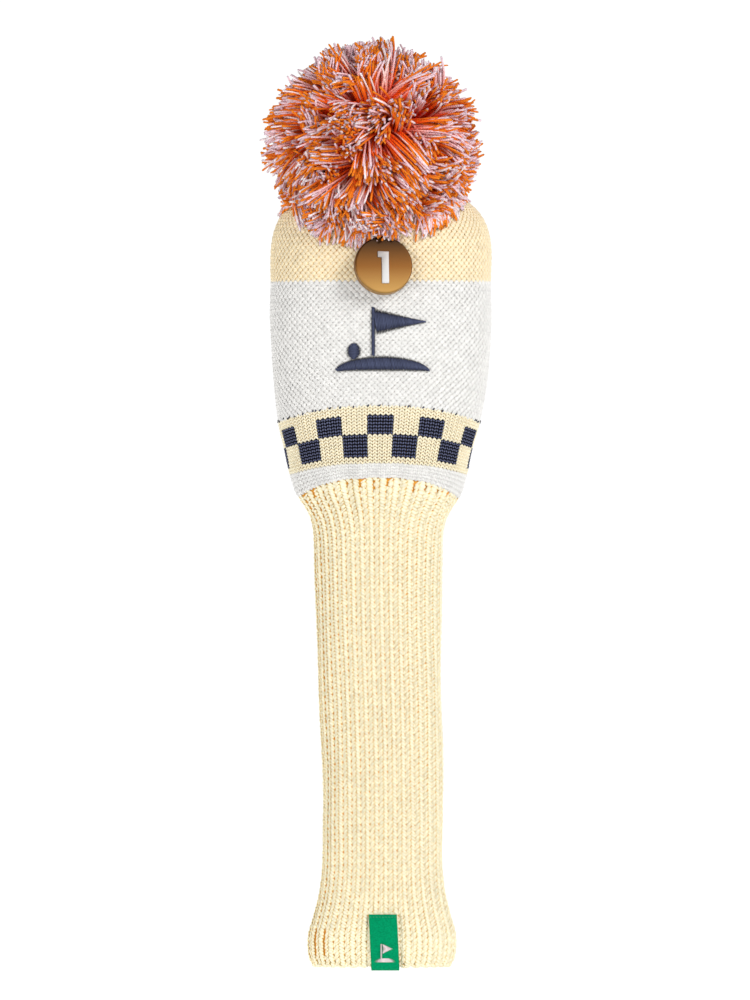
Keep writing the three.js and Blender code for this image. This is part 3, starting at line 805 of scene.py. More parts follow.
def build_checker_band():
    random = rng(40)
    *places, row, column = stitch_places(STRIP_TOP, BAND_TOP, BAND_ROWS, BAND_COLUMNS, shift=CHECK_SHIFT)
    lower = (row >= LOWER_BLOCKS[0]) & (row < LOWER_BLOCKS[1])
    upper = (row >= UPPER_BLOCKS[0]) & (row < UPPER_BLOCKS[1])
    turn = (column + BLOCK_STITCHES // 2 + BLOCK_STITCHES * lower) // BLOCK_STITCHES
    navy = (lower | upper) & (turn % 2 == 0)
    for name, chosen, material, width, nodes in (
        ("yellow", ~navy, BAND_YELLOW, YELLOW_CHECK_WIDTH, ["checker_band"]),
        ("navy", navy, NAVY, NAVY_CHECK_WIDTH, []),
    ):
        kept = (value[chosen] for value in places)
        stitches = v_piece(f"checker_{name}_stitches", *kept, material, width, random)
        place(stitches, "checker_knit", "head", *nodes)


def build_white_strip():
    random = rng(50)
    *places, _, _ = stitch_places(NECK_TOP, STRIP_TOP, STRIP_ROWS, BAND_COLUMNS)
    stitches = v_piece("white_strip_stitches", *places, WHITE, STRIP_WIDTH, random)
    place(stitches, "white_knit", NECK_BEND, "lower_white_band")


def build_seam():
    """The linking seam between the panel and the checker band: pale chain stitches, bits of navy between."""
    random = rng(60)
    for name, lift, material, share, size in (
        ("seam_chain", 0.1 * MM, WHITE, 1.0, 1.0 * MM),
        ("seam_navy_ends", 0.55 * MM, NAVY, 0.5, 0.75 * MM),
    ):
        u = np.arange(SEAM_STITCHES) / SEAM_STITCHES + random.normal(0, 0.0008, SEAM_STITCHES)
        u = u[random.random(SEAM_STITCHES) < share]
        s = BAND_TOP(u) + random.normal(0, 0.25 * MM, len(u))
        lean = joined(0.8, random.normal(0.9, 0.35, len(u)))
        points = laid_legs(u, s, lean, lift, length=2.4 * size, width=1.1 * size, height=size, arch=0.4 * MM)
        place(leg_piece(name, points, material, random), "navy_thread", "head", "linking_seam_thread")


# ---------------------------------------------------------------- the ribbed sleeve, its neck and its hem
RIB_LEGS = (
    # kind, place across the rib, slant and width as shares of the rib, width of the odd rows over the even
    # ones, height, offset in stitches, side, and how many rows one stitch takes
    ("left", 0.20, 0.34, 0.34, 0.55, 1.05 * MM, 0.0, -1, 1),
    ("right", 0.62, 0.46, 0.36, 0.85, 1.05 * MM, 0.5, 1, 1),
    ("groove", 0.95, 0.12, 0.36, 1, 0.9 * MM, 0.25, -1, 2),
    ("groove", 1.05, 0.12, 0.36, 1, 0.9 * MM, 0.75, 1, 2),
)
RIB_PARTS = (
    # name, from where to where it runs, the node it stands for, and what it follows
    ("hem", 0.7 * MM, HEM_TOP_S, "hem_cuff", "sleeve"),
    ("sleeve", HEM_TOP_S, SLEEVE_TOP_S, "rib_sleeve", NECK_BEND),
    ("neck", SLEEVE_TOP_S, np.inf, "neck_flare", NECK_BEND),
)


RIB_OVERLAP = 1.2  # how far a leg runs down, over its row
RIB_LENGTH = 1.25  # a leg's length over its run
RIB_ARCH = 0.3 * MM
RIB_TILT = 0.1 * MM


def grooves_kept(u, s, random):
    """Which of the grooves' stitches are there: fewer under the white strip, none in the slits."""
    keep = (s < NECK_TOP(u) - GATHER_HEIGHT) | (random.random(len(u)) < GATHER_KEPT)
    rib = np.floor(rib_phase(u) + 0.5) % RIBS
    return keep & (~np.isin(rib, SLIT_RIBS) | (s < SLIT_ENDS[0]) | (s > SLIT_ENDS[1]))


def rib_leg_points(leg, low, high, random):
    """Vertices of one kind of rib leg, from low to high up the wall."""
    kind, at, slant, width, odd_width, height, offset, sign, rows_taken = leg
    rows = int(round(np.mean(NECK_TOP(np.linspace(0, 1, 90))) / (RIB_STITCH * rows_taken)))
    row, rib = (index.ravel() for index in np.indices((rows, RIBS)))
    u = (rib + at - 0.5 + RIB_SHIFT) / RIBS + random.normal(0, 0.0002, len(row))
    row_height = NECK_TOP(u) / rows
    s = row_height * (row + offset + 0.1)
    keep = (s >= low) & (s < high) & (s < NECK_TOP(u))
    if kind == "groove":
        keep &= grooves_kept(u, s, random)
    u, s, row_height, odd = (value[keep] for value in (u, s, row_height, row % 2))
    pitch = girth(s) / RIBS
    step = joined(sign * slant * pitch, -row_height * RIB_OVERLAP / rows_taken)
    length = np.linalg.norm(step, axis=-1) * RIB_LENGTH * random.normal(1, 0.04, len(u))
    lean = scattered(step, random)
    lift = random.normal(0, 0.05 * MM, len(u)) - ODD_ROW_SINK * odd
    width = pitch * width * np.where(odd, odd_width, 1) * random.normal(1, 0.03, len(u))
    sizes = dict(length=length, width=width, height=height, arch=RIB_ARCH, tilt=RIB_TILT)
    return laid_legs(u, s, lean, lift, **sizes)


def build_ribs():
    """The rib stitches of the hem, the sleeve and the neck, one piece per node and kind of leg."""
    for index, (part, low, high, node, body) in enumerate(RIB_PARTS):
        random = rng(70 + index)
        kinds = {}
        for leg in RIB_LEGS:
            kinds.setdefault(leg[0], []).append(rib_leg_points(leg, low, high, random))
        for kind, points in kinds.items():
            stitches = leg_piece(f"{part}_{kind}_stitches", np.concatenate(points), YELLOW, random)
            place(stitches, "yellow_rib_knit", body, node)


MOUTH_LEVEL = 0.9 * MM
MOUTH_LOOPS = (
    # loops round, inset from the surface, rise, sag, size, and how much lower a crest's loop lies
    (RIBS, 0.9 * MM, 0.0, 1.2 * MM, 2.8 * MM, 0.0),
    (RIBS, 2.6 * MM, 0.0, 1.1 * MM, 2.6 * MM, 0.0),
    (RIBS * 3, -0.1 * MM, 0.1 * MM, 0.3 * MM, 1.5 * MM, 0.9 * MM),
)


def build_mouth_edge():
    """The cast-on edge: fat loops round the mouth, lowest under each rib."""
    random = rng(80)
    rows = []
    for count, inset, rise, sag, size, drop in MOUTH_LOOPS:
        u = (np.arange(count) + RIB_SHIFT * count / RIBS) / count
        crest = np.sin(np.pi * rib_phase(u)) ** 2
        level = np.full(count, MOUTH_LEVEL)
        across, up, out = axes_of(knit_surface, u, level)
        lift = random.normal(0, 0.15 * MM, count) + rise - drop * crest
        centre = knit_surface(u, level) + up * lift[:, None] - out * inset
        along = unit(across + up * random.normal(0, 0.04, (count, 1)))
        length = girth(0.0) / count * 1.25
        rows.append(legs(centre, along, -up, out, length, size, size, 0.2 * MM, bend=sag))
    place(leg_piece("mouth_edge", np.concatenate(rows), YELLOW, random), "yellow_rib_knit", "sleeve")


# ---------------------------------------------------------------- the pom
POM_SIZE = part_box("pom_skirt")[1].x  # its outer radius
POM_LEAN = -2.5 * MM  # the pom lolls a little to -X
POM_CENTRE = np.array([POM_LEAN, 0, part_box("pom_ball")[1].z - POM_SIZE])
POM_PARTING = unit(np.array([0.1, -1, 0.26]))  # the strands in front are combed away from here
POM_COMBING = 0.27
POM_SAG = 5 * MM  # how far the tips of the level strands hang
POM_REACH = 0.975  # of the longest strands, over the pom's size
SKIRT_REACH = 0.32  # how much further the lowest reach, over the crown's front and back
UNEVEN_CUT = (-7.5 * MM, 1.5 * MM)
CLUMP_CUT = 2.2 * MM  # how much the clumps differ in length
SWELL = 2.4 * MM  # slow bulges and hollows of the ball
CLUMP_SWAY = 0.17  # how far clumps lean to one side at random
FLYAWAYS = 0.02  # share of strands that stand out from the others
FLYAWAY_REACH = 6 * MM
POM_RINGS = 7
POM_SIDES = 4
POM_T = np.append(np.linspace(0, 0.985, POM_RINGS + 1), 1.0)  # a blunt cut end: the last ring is near the tip
LOWEST_STRAND = -0.93  # strands that point lower than this, as a share of the radius, are left out
SKIRT_SPLIT = -0.1  # strands that point lower than this are the skirt's
CROWN_CLEARANCE = 1.8 * MM
CORE_GRAINS = 900
CORE_GRAIN = dict(length=9 * MM, width=4.6 * MM, height=6 * MM, arch=1 * MM)
CORE_RADII = (20 * MM, 31 * MM)
CORE_LOWEST = -0.4  # lower than this the nodding core would meet the crown
BINDING_WRAPS = 9


def sphere_directions(count, random, scatter):
    """Even directions on a sphere, slightly scattered."""
    index = np.arange(count) + 0.5
    z = 1 - 2 * index / count
    turn = np.pi * (1 + 5**0.5) * index
    flat = np.sqrt(1 - z * z)
    directions = joined(flat * np.cos(turn), flat * np.sin(turn), z)
    return unit(directions + random.normal(0, scatter, directions.shape))


def clear_of_crown(points):
    """Points that lie inside the crown, moved out from the dome's centre until they rest on it."""
    halves = np.array([np.interp(DOME_START, HEIGHT, half) for half in (HALF_X, HALF_Y)]) + CROWN_CLEARANCE
    dome_centre = np.array([0, 0, DOME_START])
    rel = points - dome_centre
    section = (np.abs(rel[..., :2] / halves) ** SECTION_EXPONENT).sum(axis=-1)
    rise = np.maximum(rel[..., 2] / (DOME_RISE + CROWN_CLEARANCE), 0)
    inside = section ** (DOME_EXPONENT / SECTION_EXPONENT) + rise**DOME_EXPONENT
    push = np.where(inside < 1, np.maximum(inside, 0.02) ** (-1 / DOME_EXPONENT), 1)
    return dome_centre + rel * push[..., None]


def smooth_field(directions, random, waves, size):
    """A smooth random vector at each direction, made of a few waves over the sphere."""
    count = 14
    heading = random.normal(0, waves, (count, 3))
    phase = random.uniform(0, 2 * np.pi, count)
    push = random.normal(0, 1, (count, 3))
    return size * np.sin(directions @ heading.T + phase) @ push / count**0.5


def clump_sweeps(clump, random):
    """How far each clump's tips sweep sideways: a random sweep, not along the clump, and the combing."""
    sweep = smooth_field(clump, random, 3.0, 0.10) + random.normal(0, CLUMP_SWAY, clump.shape)
    sweep = sweep - clump * np.sum(sweep * clump, axis=1, keepdims=True)
    facing = clump @ POM_PARTING
    away = clump - facing[:, None] * POM_PARTING
    away = away / (np.linalg.norm(away, axis=1, keepdims=True) + 0.25)
    return sweep, away * POM_COMBING * np.sqrt(np.clip(facing, 0, 1))[:, None]


def strand_reach(direction, nearest, random):
    """Each strand's tip radius, longer over the crown's front and back, and the ball's local swelling."""
    lowness = np.clip(-direction[:, 2], 0, 1)
    frontness = np.abs(direction[:, 1]) / np.linalg.norm(direction[:, :2], axis=1)
    reach = POM_SIZE * (POM_REACH + SKIRT_REACH * lowness * frontness + 0.05 * lowness)
    reach = reach + random.uniform(*UNEVEN_CUT, len(direction))
    reach = reach + random.normal(0, CLUMP_CUT, POM_CLUMPS)[nearest]
    swell = smooth_field(direction, random, 2.2, SWELL)[:, 0]
    reach = reach + swell + FLYAWAY_REACH * (random.random(len(direction)) < FLYAWAYS)
    return np.minimum(reach, POM_SIZE * random.normal(1.215, 0.02, len(direction))), swell


def pom_paths(random):
    """Directions and centre lines of the yarn ends: out from the core, in clumps that sweep to one side."""
    direction = sphere_directions(POM_STRANDS, random, 0.015)
    direction = direction[direction[:, 2] > LOWEST_STRAND]
    clump = sphere_directions(POM_CLUMPS, random, 0.06)
    nearest = np.argmax(direction @ clump.T + random.normal(0, 0.003, (len(direction), POM_CLUMPS)), axis=1)
    sweep, combing = clump_sweeps(clump, random)
    pull = (clump[nearest] - direction) * random.uniform(0.2, 0.8, (len(direction), 1))
    scatter = random.normal(0, 0.055, direction.shape)
    tip_direction = unit(direction + (sweep + combing)[nearest] + pull + scatter)
    reach, swell = strand_reach(direction, nearest, random)
    t = POM_T[None, :, None]
    turn = t**2
    heading = unit(direction[:, None] * (1 - turn) + tip_direction[:, None] * turn)
    path = POM_CENTRE + heading * (POM_ROOT + (reach[:, None, None] - POM_ROOT) * t)
    path[..., 2] -= POM_SAG * turn[..., 0] * (1 - np.abs(direction[:, None, 2]))
    rel = clear_of_crown(path) - POM_CENTRE
    spread = np.hypot(rel[:, -1, 0], rel[:, -1, 2])
    limit = POM_SIZE * random.normal(1.04, 0.025, len(spread)) + swell
    excess = 1 - np.minimum(limit / spread, 1)
    rel[..., [0, 2]] *= (1 - excess[:, None] * POM_T)[..., None]
    return direction, POM_CENTRE + rel


def yarn_ends(path, random):
    """Vertices of round yarn ends along the paths."""
    reference = unit(random.normal(0, 1, (len(path), 1, 3)))
    size = YARN_RADIUS * random.uniform(0.85, 1.15, (len(path), 1)) * np.ones(POM_RINGS)
    return tube_points(path, reference, size, size, POM_SIDES)


def build_pom():
    """The pom's yarn in three colours, as a ball that rides the pom and a skirt that rests on the crown."""
    random = rng(90)
    direction, path = pom_paths(random)
    # The pink strands are real yarn; their larger share towards the top is a painted highlight.
    painted_highlight = np.clip(direction[:, 2], 0, 1)
    pale = 0.06 + 0.26 * np.clip(-direction[:, 2], 0, 1) + 0.08 * np.clip(-direction[:, 0], 0, 1)
    pink = (0.44 + 0.14 * painted_highlight) * (1 - pale)
    draw = random.random(len(path))
    colour = np.where(draw < pale, "pale", np.where(draw < pale + pink, "pink", "orange"))
    low = direction[:, 2] < SKIRT_SPLIT + random.normal(0, 0.05, len(path))
    front = direction[:, 1] < 0
    points = yarn_ends(path, random)
    # Painted shade and highlight: each yarn end is deep and saturated towards its root and lightest at its
    # tip.
    painted_shade_along = np.clip((POM_T - 0.3) / 0.7, 0, 1) ** 1.2
    depth = np.concatenate([[0], np.repeat(painted_shade_along[1:-1], POM_SIDES), [1]])
    kinds = (
        ("orange", ORANGE_POM, "pom_orange_yarn"),
        ("pink", PINK_POM, "pom_pink_yarn"),
        ("pale", PALE_POM, "pom_white_yarn"),
    )
    parts = (
        ("ball_front", ~low & front, "pom", "pom_ball"),
        ("ball_back", ~low & ~front, "pom", "pom_ball"),
        ("skirt_front", low & front, SKIRT_BEND, "pom_skirt"),
        ("skirt_back", low & ~front, SKIRT_BEND, "pom_skirt"),
    )
    for name, material, slot in kinds:
        for part, chosen, body, node in parts:
            picked = points[chosen & (colour == name)]
            tint = random.uniform(-1, 1, len(picked))
            piece = strand_piece(f"pom_{part}_{name}", picked, POM_RINGS, POM_SIDES, depth, tint, material)
            place(piece, slot, body, node)


def build_pom_core():
    """The dense middle of the pom, where the strands lie packed."""
    random = rng(95)
    direction = sphere_directions(CORE_GRAINS, random, 0.05)
    direction = direction[direction[:, 2] > CORE_LOWEST]
    along = unit(np.cross(direction, random.normal(0, 1, direction.shape)))
    centre = clear_of_crown(POM_CENTRE + direction * random.uniform(*CORE_RADII, (len(direction), 1)))
    points = legs(centre, along, np.cross(direction, along), direction, **CORE_GRAIN)
    place(leg_piece("pom_core", points, ORANGE_POM, random), "pom_orange_yarn", "pom")


def build_pom_binding():
    """The wraps that bind the pom's middle, widest half way up."""
    low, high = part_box("pom_binding")
    sides = 8
    share = np.linspace(0, 1, BINDING_WRAPS * 40)
    turn = 2 * np.pi * BINDING_WRAPS * share
    radius = (high.x - low.x) / 2 * (1 - 0.35 * np.abs(share * 2 - 1) ** 2)
    path = joined(radius * np.cos(turn), radius * np.sin(turn), low.z + (high.z - low.z) * share)[None]
    rings = len(share) - 2
    size = np.full((1, rings), 1.0 * MM)
    points = tube_points(path, [0, 0, 1.0], size, size, sides)
    wrap = strand_piece("pom_binding_wraps", points, rings, sides, 0.6, np.zeros(1), CORD)
    place(wrap, "tie_cord", "pom", "pom_binding")


# ---------------------------------------------------------------- the emblem
EMBLEM_LIFT = 0.75 * MM
SATIN_RISE = 0.7 * MM
SATIN_SLANT = 0.9 * MM  # half of how far a thread's ends lie apart across its run


def front_place(x, z):
    """(u, s) of the knit's front at x and z, by a few steps of correction."""
    s = np.interp(z, HEIGHT, S)
    u = x / girth(s)
    for _ in range(6):
        u = u + (x - plain_surface(u, s)[..., 0]) / girth(s)
    return u, s


def satin(name, starts, ends, lift, rise, random):
    """Satin stitch: threads side by side, each from a start to an end place (x, z), arched over the knit."""
    starts = starts + random.normal(0, 0.05 * MM, starts.shape)
    ends = ends + random.normal(0, 0.05 * MM, ends.shape)
    share = (LEG_T[None, :, None] + 1) / 2
    flat = starts[:, None] * (1 - share) + ends[:, None] * share
    u, s = front_place(flat[..., 0], flat[..., 1])
    _, _, out = axes_of(knit_surface, u, s)
    arch = (1 - LEG_T**2)[None, :, None]
    path = knit_surface(u, s) + out * (lift + rise * arch)
    half = np.broadcast_to(THREAD_PITCH * 0.62 * LEG_SHAPE[1:-1] ** 0.5, (len(path), LEG_RINGS))
    return leg_piece(name, tube_points(path, out, half, half * 0.9, LEG_SIDES), NAVY_THREAD, random)


def flag_threads():
    """Starts and ends of the pennant's threads, shorter and shorter towards its tip."""
    low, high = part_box("emblem_flag")
    x = np.arange(low.x, high.x - 0.6 * MM, THREAD_PITCH)
    middle = (low.z + high.z) / 2
    half = (high.z - low.z) / 2 * (1 - (x - low.x) / (high.x - low.x))
    return joined(x - SATIN_SLANT, middle + half), joined(x + SATIN_SLANT, middle - half)


def pole_threads():
    low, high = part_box("emblem_flagstick")
    z = np.arange(low.z, high.z, THREAD_PITCH)
    return joined(low.x, z + 0.3 * MM), joined(high.x, z - 0.3 * MM)


def mound_threads():
    low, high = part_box("emblem_mound")
    x = np.arange(low.x + 0.6 * MM, high.x - 0.6 * MM, THREAD_PITCH)
    across = (x - (low.x + high.x) / 2) / ((high.x - low.x) / 2)
    rise = (high.z - low.z) * np.sqrt(1 - across**2)
    return joined(x - SATIN_SLANT, low.z + rise), joined(x + SATIN_SLANT, low.z)


def ball_threads():
    low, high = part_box("emblem_ball")
    radius = (high.x - low.x) / 2
    x, z = (low.x + high.x) / 2, (low.z + high.z) / 2
    level = np.arange(-radius + 0.3 * MM, radius, THREAD_PITCH)
    chord = np.sqrt(radius**2 - level**2)
    return joined(x - chord, z + level), joined(x + chord, z + level)


def build_emblem():
    """A golf flag on its pole over a mound, with a ball beside it, in navy satin stitch."""
    random = rng(100)
    for name, node, threads, lift, rise in (
        ("flag", "emblem_flag", flag_threads, EMBLEM_LIFT, SATIN_RISE),
        ("pole", "emblem_flagstick", pole_threads, EMBLEM_LIFT + 0.15 * MM, SATIN_RISE / 2),
        ("mound", "emblem_mound", mound_threads, EMBLEM_LIFT, SATIN_RISE),
        ("ball", "emblem_ball", ball_threads, EMBLEM_LIFT, SATIN_RISE),
    ):
        piece = satin(f"emblem_{name}_threads", *threads(), lift, rise, random)
        place(piece, "navy_thread", "head", node)


# ---------------------------------------------------------------- the badge
BADGE_JOINT = next(joint for joint in frame["joints"] if joint["name"] == "badge_spin")
BADGE_START = np.array(BADGE_JOINT["pos_m"])
BADGE_AXIS = unit(np.array(BADGE_JOINT["axis"], float))
BADGE_UP = unit(np.array([0, 0, 1.0]) - BADGE_AXIS * BADGE_AXIS[2])
BADGE_RIGHT = np.cross(BADGE_UP, BADGE_AXIS)
REEDS = 110  # fine ridges round the badge's side
REED_DEPTH = 0.14 * MM
NUMBER_SHIFT = np.array([-0.6, -1.2]) * MM  # the numeral sits a little lower and to -X of the CAD's
NUMBER_NARROWING = 0.94
NUMBER_TURN = np.radians(-1.6)
NUMBER_STEM = 4.0 * MM
NUMBER_FLAG = 3.2 * MM
NUMBER_ROUNDING = 0.4 * MM
NUMBER_INSETS = (0.0, 0.0, 0.1 * MM, 0.28 * MM)  # of the numeral's edge, at each of its heights
NUMBER_HEIGHTS = (-0.3 * MM, 0.36 * MM, 0.5 * MM, 0.54 * MM)


def badge_plane(points):
    """Points as (right, up, out) in the badge's own plane, from its axis."""
    rel = points - BADGE_START
    return joined(rel @ BADGE_RIGHT, rel @ BADGE_UP, rel @ BADGE_AXIS)


def from_badge(right, up, out):
    """Row-frame points from places in the badge's plane."""
    places = joined(right, up, out)
    return BADGE_START + places @ np.array([BADGE_RIGHT, BADGE_UP, BADGE_AXIS])


def build_badge_cap():
    """A lathed cap: reeded side, rolled rim, and a flat face. Gives the height of its face."""
    cad = badge_plane(cad_points("badge_cap"))
    radius = np.hypot(cad[:, 0], cad[:, 1]).max()
    back, face = cad[:, 2].min(), cad[:, 2].max()
    profile = (
        # radius, height, share of the reeding
        (0.0, back, 0), (radius - 1.2 * MM, back, 0), (radius - 0.3 * MM, back + 0.1 * MM, 0),
        (radius, back + 0.5 * MM, 0.4), (radius, back + 0.8 * MM, 1), (radius - 0.1 * MM, face - 0.9 * MM, 1),
        (radius - 0.12 * MM, face - 0.72 * MM, 0.3), (radius - 0.15 * MM, face - 0.62 * MM, 0),
        (radius - 0.24 * MM, face - 0.45 * MM, 0), (radius - 0.6 * MM, face - 0.12 * MM, 0),
        (radius - 0.72 * MM, face - 0.04 * MM, 0), (radius - 0.9 * MM, face, 0), (radius - 1.0 * MM, face, 0),
        (radius * 0.7, face, 0), (radius * 0.3, face, 0), (0.0, face, 0),
    )
    turns = REEDS * 4
    angle = np.arange(turns) * 2 * np.pi / turns
    reed = REED_DEPTH * (0.5 + 0.5 * np.cos(angle * REEDS)) ** 0.7
    rings = []
    for size, height, share in profile:
        reach = size - share * reed
        rings.append(from_badge(reach * np.cos(angle), reach * np.sin(angle), height))
    points = np.concatenate([rings[0][:1], *rings[1:-1], rings[-1][:1]])
    corners, uvs, counts = strand_faces(len(rings) - 2, turns)
    cap = new_mesh("badge_cap_reeded", points, corners, GOLD, counts, maps=[("OFBake", uvs)])
    place(cap, "badge_metal", "badge", "badge_cap")
    return face


def number_outline(left, bottom, right, top):
    """The numeral 1 in its box, with rounded corners, narrowed, turned and shifted."""
    neck = right - NUMBER_STEM
    shoulder = top - NUMBER_FLAG
    sharp = np.array(
        [(right, bottom), (right, top), (left, top), (left, shoulder), (neck, shoulder), (neck, bottom)]
    )
    before = unit(np.roll(sharp, 1, axis=0) - sharp)[:, None]
    after = unit(np.roll(sharp, -1, axis=0) - sharp)[:, None]
    t = np.linspace(0, 1, 5)[:, None]
    flat = (sharp[:, None] + NUMBER_ROUNDING * (before * (1 - t) ** 2 + after * t**2)).reshape(-1, 2)
    cos, sin = np.cos(NUMBER_TURN), np.sin(NUMBER_TURN)
    turned = np.array([[cos, sin], [-sin, cos]])
    middle = sharp.mean(axis=0)
    return (flat - middle) * [NUMBER_NARROWING, 1] @ turned + middle + NUMBER_SHIFT


def build_badge_number(face):
    """The raised numeral 1, with bevelled edges, on the badge's face."""
    cad = badge_plane(cad_points("badge_number"))
    low, high = cad.min(axis=0), cad.max(axis=0)
    flat = number_outline(*low[:2], *high[:2])
    tangent = unit(np.roll(flat, -1, axis=0) - np.roll(flat, 1, axis=0))
    inwards = joined(-tangent[:, 1], tangent[:, 0])
    rings = [
        from_badge(*(flat + inwards * inset).T, face + height)
        for inset, height in zip(NUMBER_INSETS, NUMBER_HEIGHTS)
    ]
    count = len(flat)
    quads, steps = grid_faces(len(rings), count)
    front = np.arange(count) + (len(rings) - 1) * count
    corners = np.concatenate([quads.ravel(), front, np.arange(count)[::-1]])
    counts = np.append(np.full(len(quads) * count, 4), [count, count])
    cap_uvs = (flat - low[:2]) / (high - low)[:2].max() / 2 + [0, 0.5]
    side_uvs = (steps / [count, 2 * len(rings)]).reshape(-1, 2)
    uvs = np.concatenate([side_uvs, cap_uvs, cap_uvs[::-1] + [0.5, 0]])
    points = np.concatenate(rings)
    number = new_mesh("badge_number_one", points, corners, SILVER, counts, maps=[("OFBake", uvs)])
    place(number, "badge_numeral", "badge", "badge_number")


# ---------------------------------------------------------------- the woven label
LABEL_THICKNESS = 0.45 * MM
LABEL_COLUMNS = 25
LABEL_LIFT = 1.5 * MM
LABEL_SHIFT = -1.0 * MM
LABEL_NARROWING = 0.93
LABEL_SLANT = 0.05  # how far its foot drifts to +X, over its height
LABEL_FOLD = 3.4 * MM  # half of the fold's depth
LABEL_HANG = 2.0 * MM  # how far the fold hangs below the mouth
LABEL_INSIDE = 11 * MM  # length of the ribbon inside the mouth
LABEL_WAVE = 0.12 * MM


def sheet_mesh(name, outer, inner, material):
    """A closed sheet from two grids of points; its UVs are metres along it."""
    rows, columns = outer.shape[:2]
    width = 2 * columns
    points = np.concatenate([outer, inner[:, ::-1]], axis=1).reshape(-1, 3)
    across = np.append(0, np.cumsum(np.linalg.norm(np.diff(outer[0], axis=0), axis=1)))
    down = np.append(0, np.cumsum(np.linalg.norm(np.diff(outer[:, 0], axis=0), axis=1)))
    across = np.concatenate([across, across[::-1] + across[-1] * 1.1])
    across = np.append(across, across[-1])
    quads, steps = grid_faces(rows, width)
    quads, steps = quads[..., [0, 3, 2, 1]], steps[..., [0, 3, 2, 1], :]
    sides = joined(across[steps[..., 0]], down[steps[..., 1]]).reshape(-1, 2)
    j = np.arange(columns - 1)
    first_end = joined(j, j + 1, width - 2 - j, width - 1 - j)
    last_end = first_end[:, ::-1] + (rows - 1) * width
    end_uvs = [np.repeat(joined(across[:columns - 1], level), 4, axis=0) for level in (down[0], down[-1])]
    corners = np.concatenate([quads.ravel(), first_end.ravel(), last_end.ravel()])
    uvs = np.concatenate([sides, *end_uvs])
    return new_mesh(name, points, corners, material, maps=[("OFBake", uvs / uvs.max(axis=0)), ("yarn", uvs)])


def label_front(low, high):
    """The middle layer of the label's front, in rows from its top to the mouth."""
    x = np.linspace(low.x, high.x, LABEL_COLUMNS)
    u, _ = front_place(x, np.full(LABEL_COLUMNS, MOUTH + 10 * MM))
    rows = []
    for z in np.linspace(high.z + 0.6 * MM, MOUTH + 0.2 * MM, 40):
        level = np.full(LABEL_COLUMNS, z - MOUTH)
        _, _, out = axes_of(plain_surface, u, level)
        wave = LABEL_WAVE * np.sin(9 * np.pi * (u * 10 + z * 20))
        row = plain_surface(u, level) + out * (LABEL_LIFT + wave)[:, None]
        row[:, 0] = x * LABEL_NARROWING - (z - high.z) * LABEL_SLANT + LABEL_SHIFT
        row[:, 2] = z
        rows.append(row)
    return np.array(rows)


def build_label():
    """A green woven ribbon folded over the mouth, and the short stitches that hold its top edge."""
    front = label_front(*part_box("woven_label"))
    turn = np.linspace(0, np.pi, 12)[1:, None]
    x, y, z = front[-1].T
    fold = joined(x, y + LABEL_FOLD * (1 - np.cos(turn)), z - LABEL_HANG * np.sin(turn))
    x, y, z = fold[-1].T
    inside = joined(x, y, z + np.linspace(0, LABEL_INSIDE, 8)[1:, None])
    grid = np.concatenate([front, fold, inside])
    outwards = unit(np.cross(np.gradient(grid, axis=0), np.gradient(grid, axis=1)))
    outer = grid + outwards * LABEL_THICKNESS / 2
    label = sheet_mesh("label_ribbon", outer, grid - outwards * LABEL_THICKNESS / 2, GREEN)
    place(label, "label_green", "sleeve", "woven_label")
    build_label_stitches(front, outwards)
    build_label_motif(front, outwards)


def thread_piece(name, centre, along, out, lift, length, width, material, random):
    """Short straight threads lying on a surface, all along one way."""
    out = np.broadcast_to(out, centre.shape)
    along = np.broadcast_to(along, centre.shape)
    centre = centre + out * (LABEL_THICKNESS / 2 + lift)
    points = legs(centre, along, np.cross(out, along), out, length, width, width * 0.8, 0.15 * MM)
    return leg_piece(name, points, material, random)


def build_label_stitches(front, outwards):
    row = front[2]
    index = np.linspace(0.06, 0.94, 9) * (len(row) - 1)
    centre = joined(*(np.interp(index, np.arange(len(row)), values) for values in row.T))
    out = unit(outwards[2].mean(axis=0))
    piece = thread_piece(
        "label_top_stitches", centre, [1.0, 0, 0], out, 0.1 * MM, 1.35 * MM, 0.42 * MM, LABEL_THREAD, rng(110)
    )
    place(piece, "label_thread", "sleeve", "label_stitches")


MOTIF_ROW = 7  # of the label's front, from the fold: the motif's origin
MOTIF_PITCH = 0.34 * MM
POLE_X = -1.9 * MM
POLE_TOP = 7.6 * MM
POLE_WIDTH = 0.9 * MM
PENNANT_FOOT = 2.6 * MM
PENNANT_MIDDLE = 5.1 * MM
PENNANT_LENGTH = 5.8 * MM
GREEN_FOOT = -1.7 * MM
GREEN_WIDTH = 11.2 * MM
GREEN_RISE = 2.0 * MM


def motif_threads():
    """The motif's level threads, as (x, z, length): its pole, its pennant and the green under it."""
    threads = [(POLE_X, z, POLE_WIDTH) for z in np.arange(0, POLE_TOP, MOTIF_PITCH)]
    for z in np.arange(PENNANT_FOOT, POLE_TOP, MOTIF_PITCH):
        reach = PENNANT_LENGTH * (1 - abs(z - PENNANT_MIDDLE) / PENNANT_FOOT)
        if reach > 0.4 * MM:
            threads.append((POLE_X + 0.5 * MM + reach / 2, z, reach))
    for z in np.arange(GREEN_FOOT, 0.2 * MM, MOTIF_PITCH):
        threads.append((0.0, z, GREEN_WIDTH * np.sqrt(max(0.0, 1 - ((z - GREEN_FOOT) / GREEN_RISE) ** 2))))
    return np.array(threads)


def build_label_motif(front, outwards):
    """A small plain golf flag woven in pale thread near the fold."""
    row = front[-MOTIF_ROW]
    middle = LABEL_COLUMNS // 2
    out = unit(outwards[len(front) - MOTIF_ROW, middle])
    across = unit(row[-1] - row[0])
    up = unit(np.cross(out, across))
    x, z, length = motif_threads().T
    centre = row[middle] + across * x[:, None] + up * z[:, None]
    piece = thread_piece(
        "label_flag_motif", centre, across, out, 0.06 * MM, length, 0.36 * MM, MOTIF_THREAD, rng(120)
    )
    place(piece, "label_thread", "sleeve")
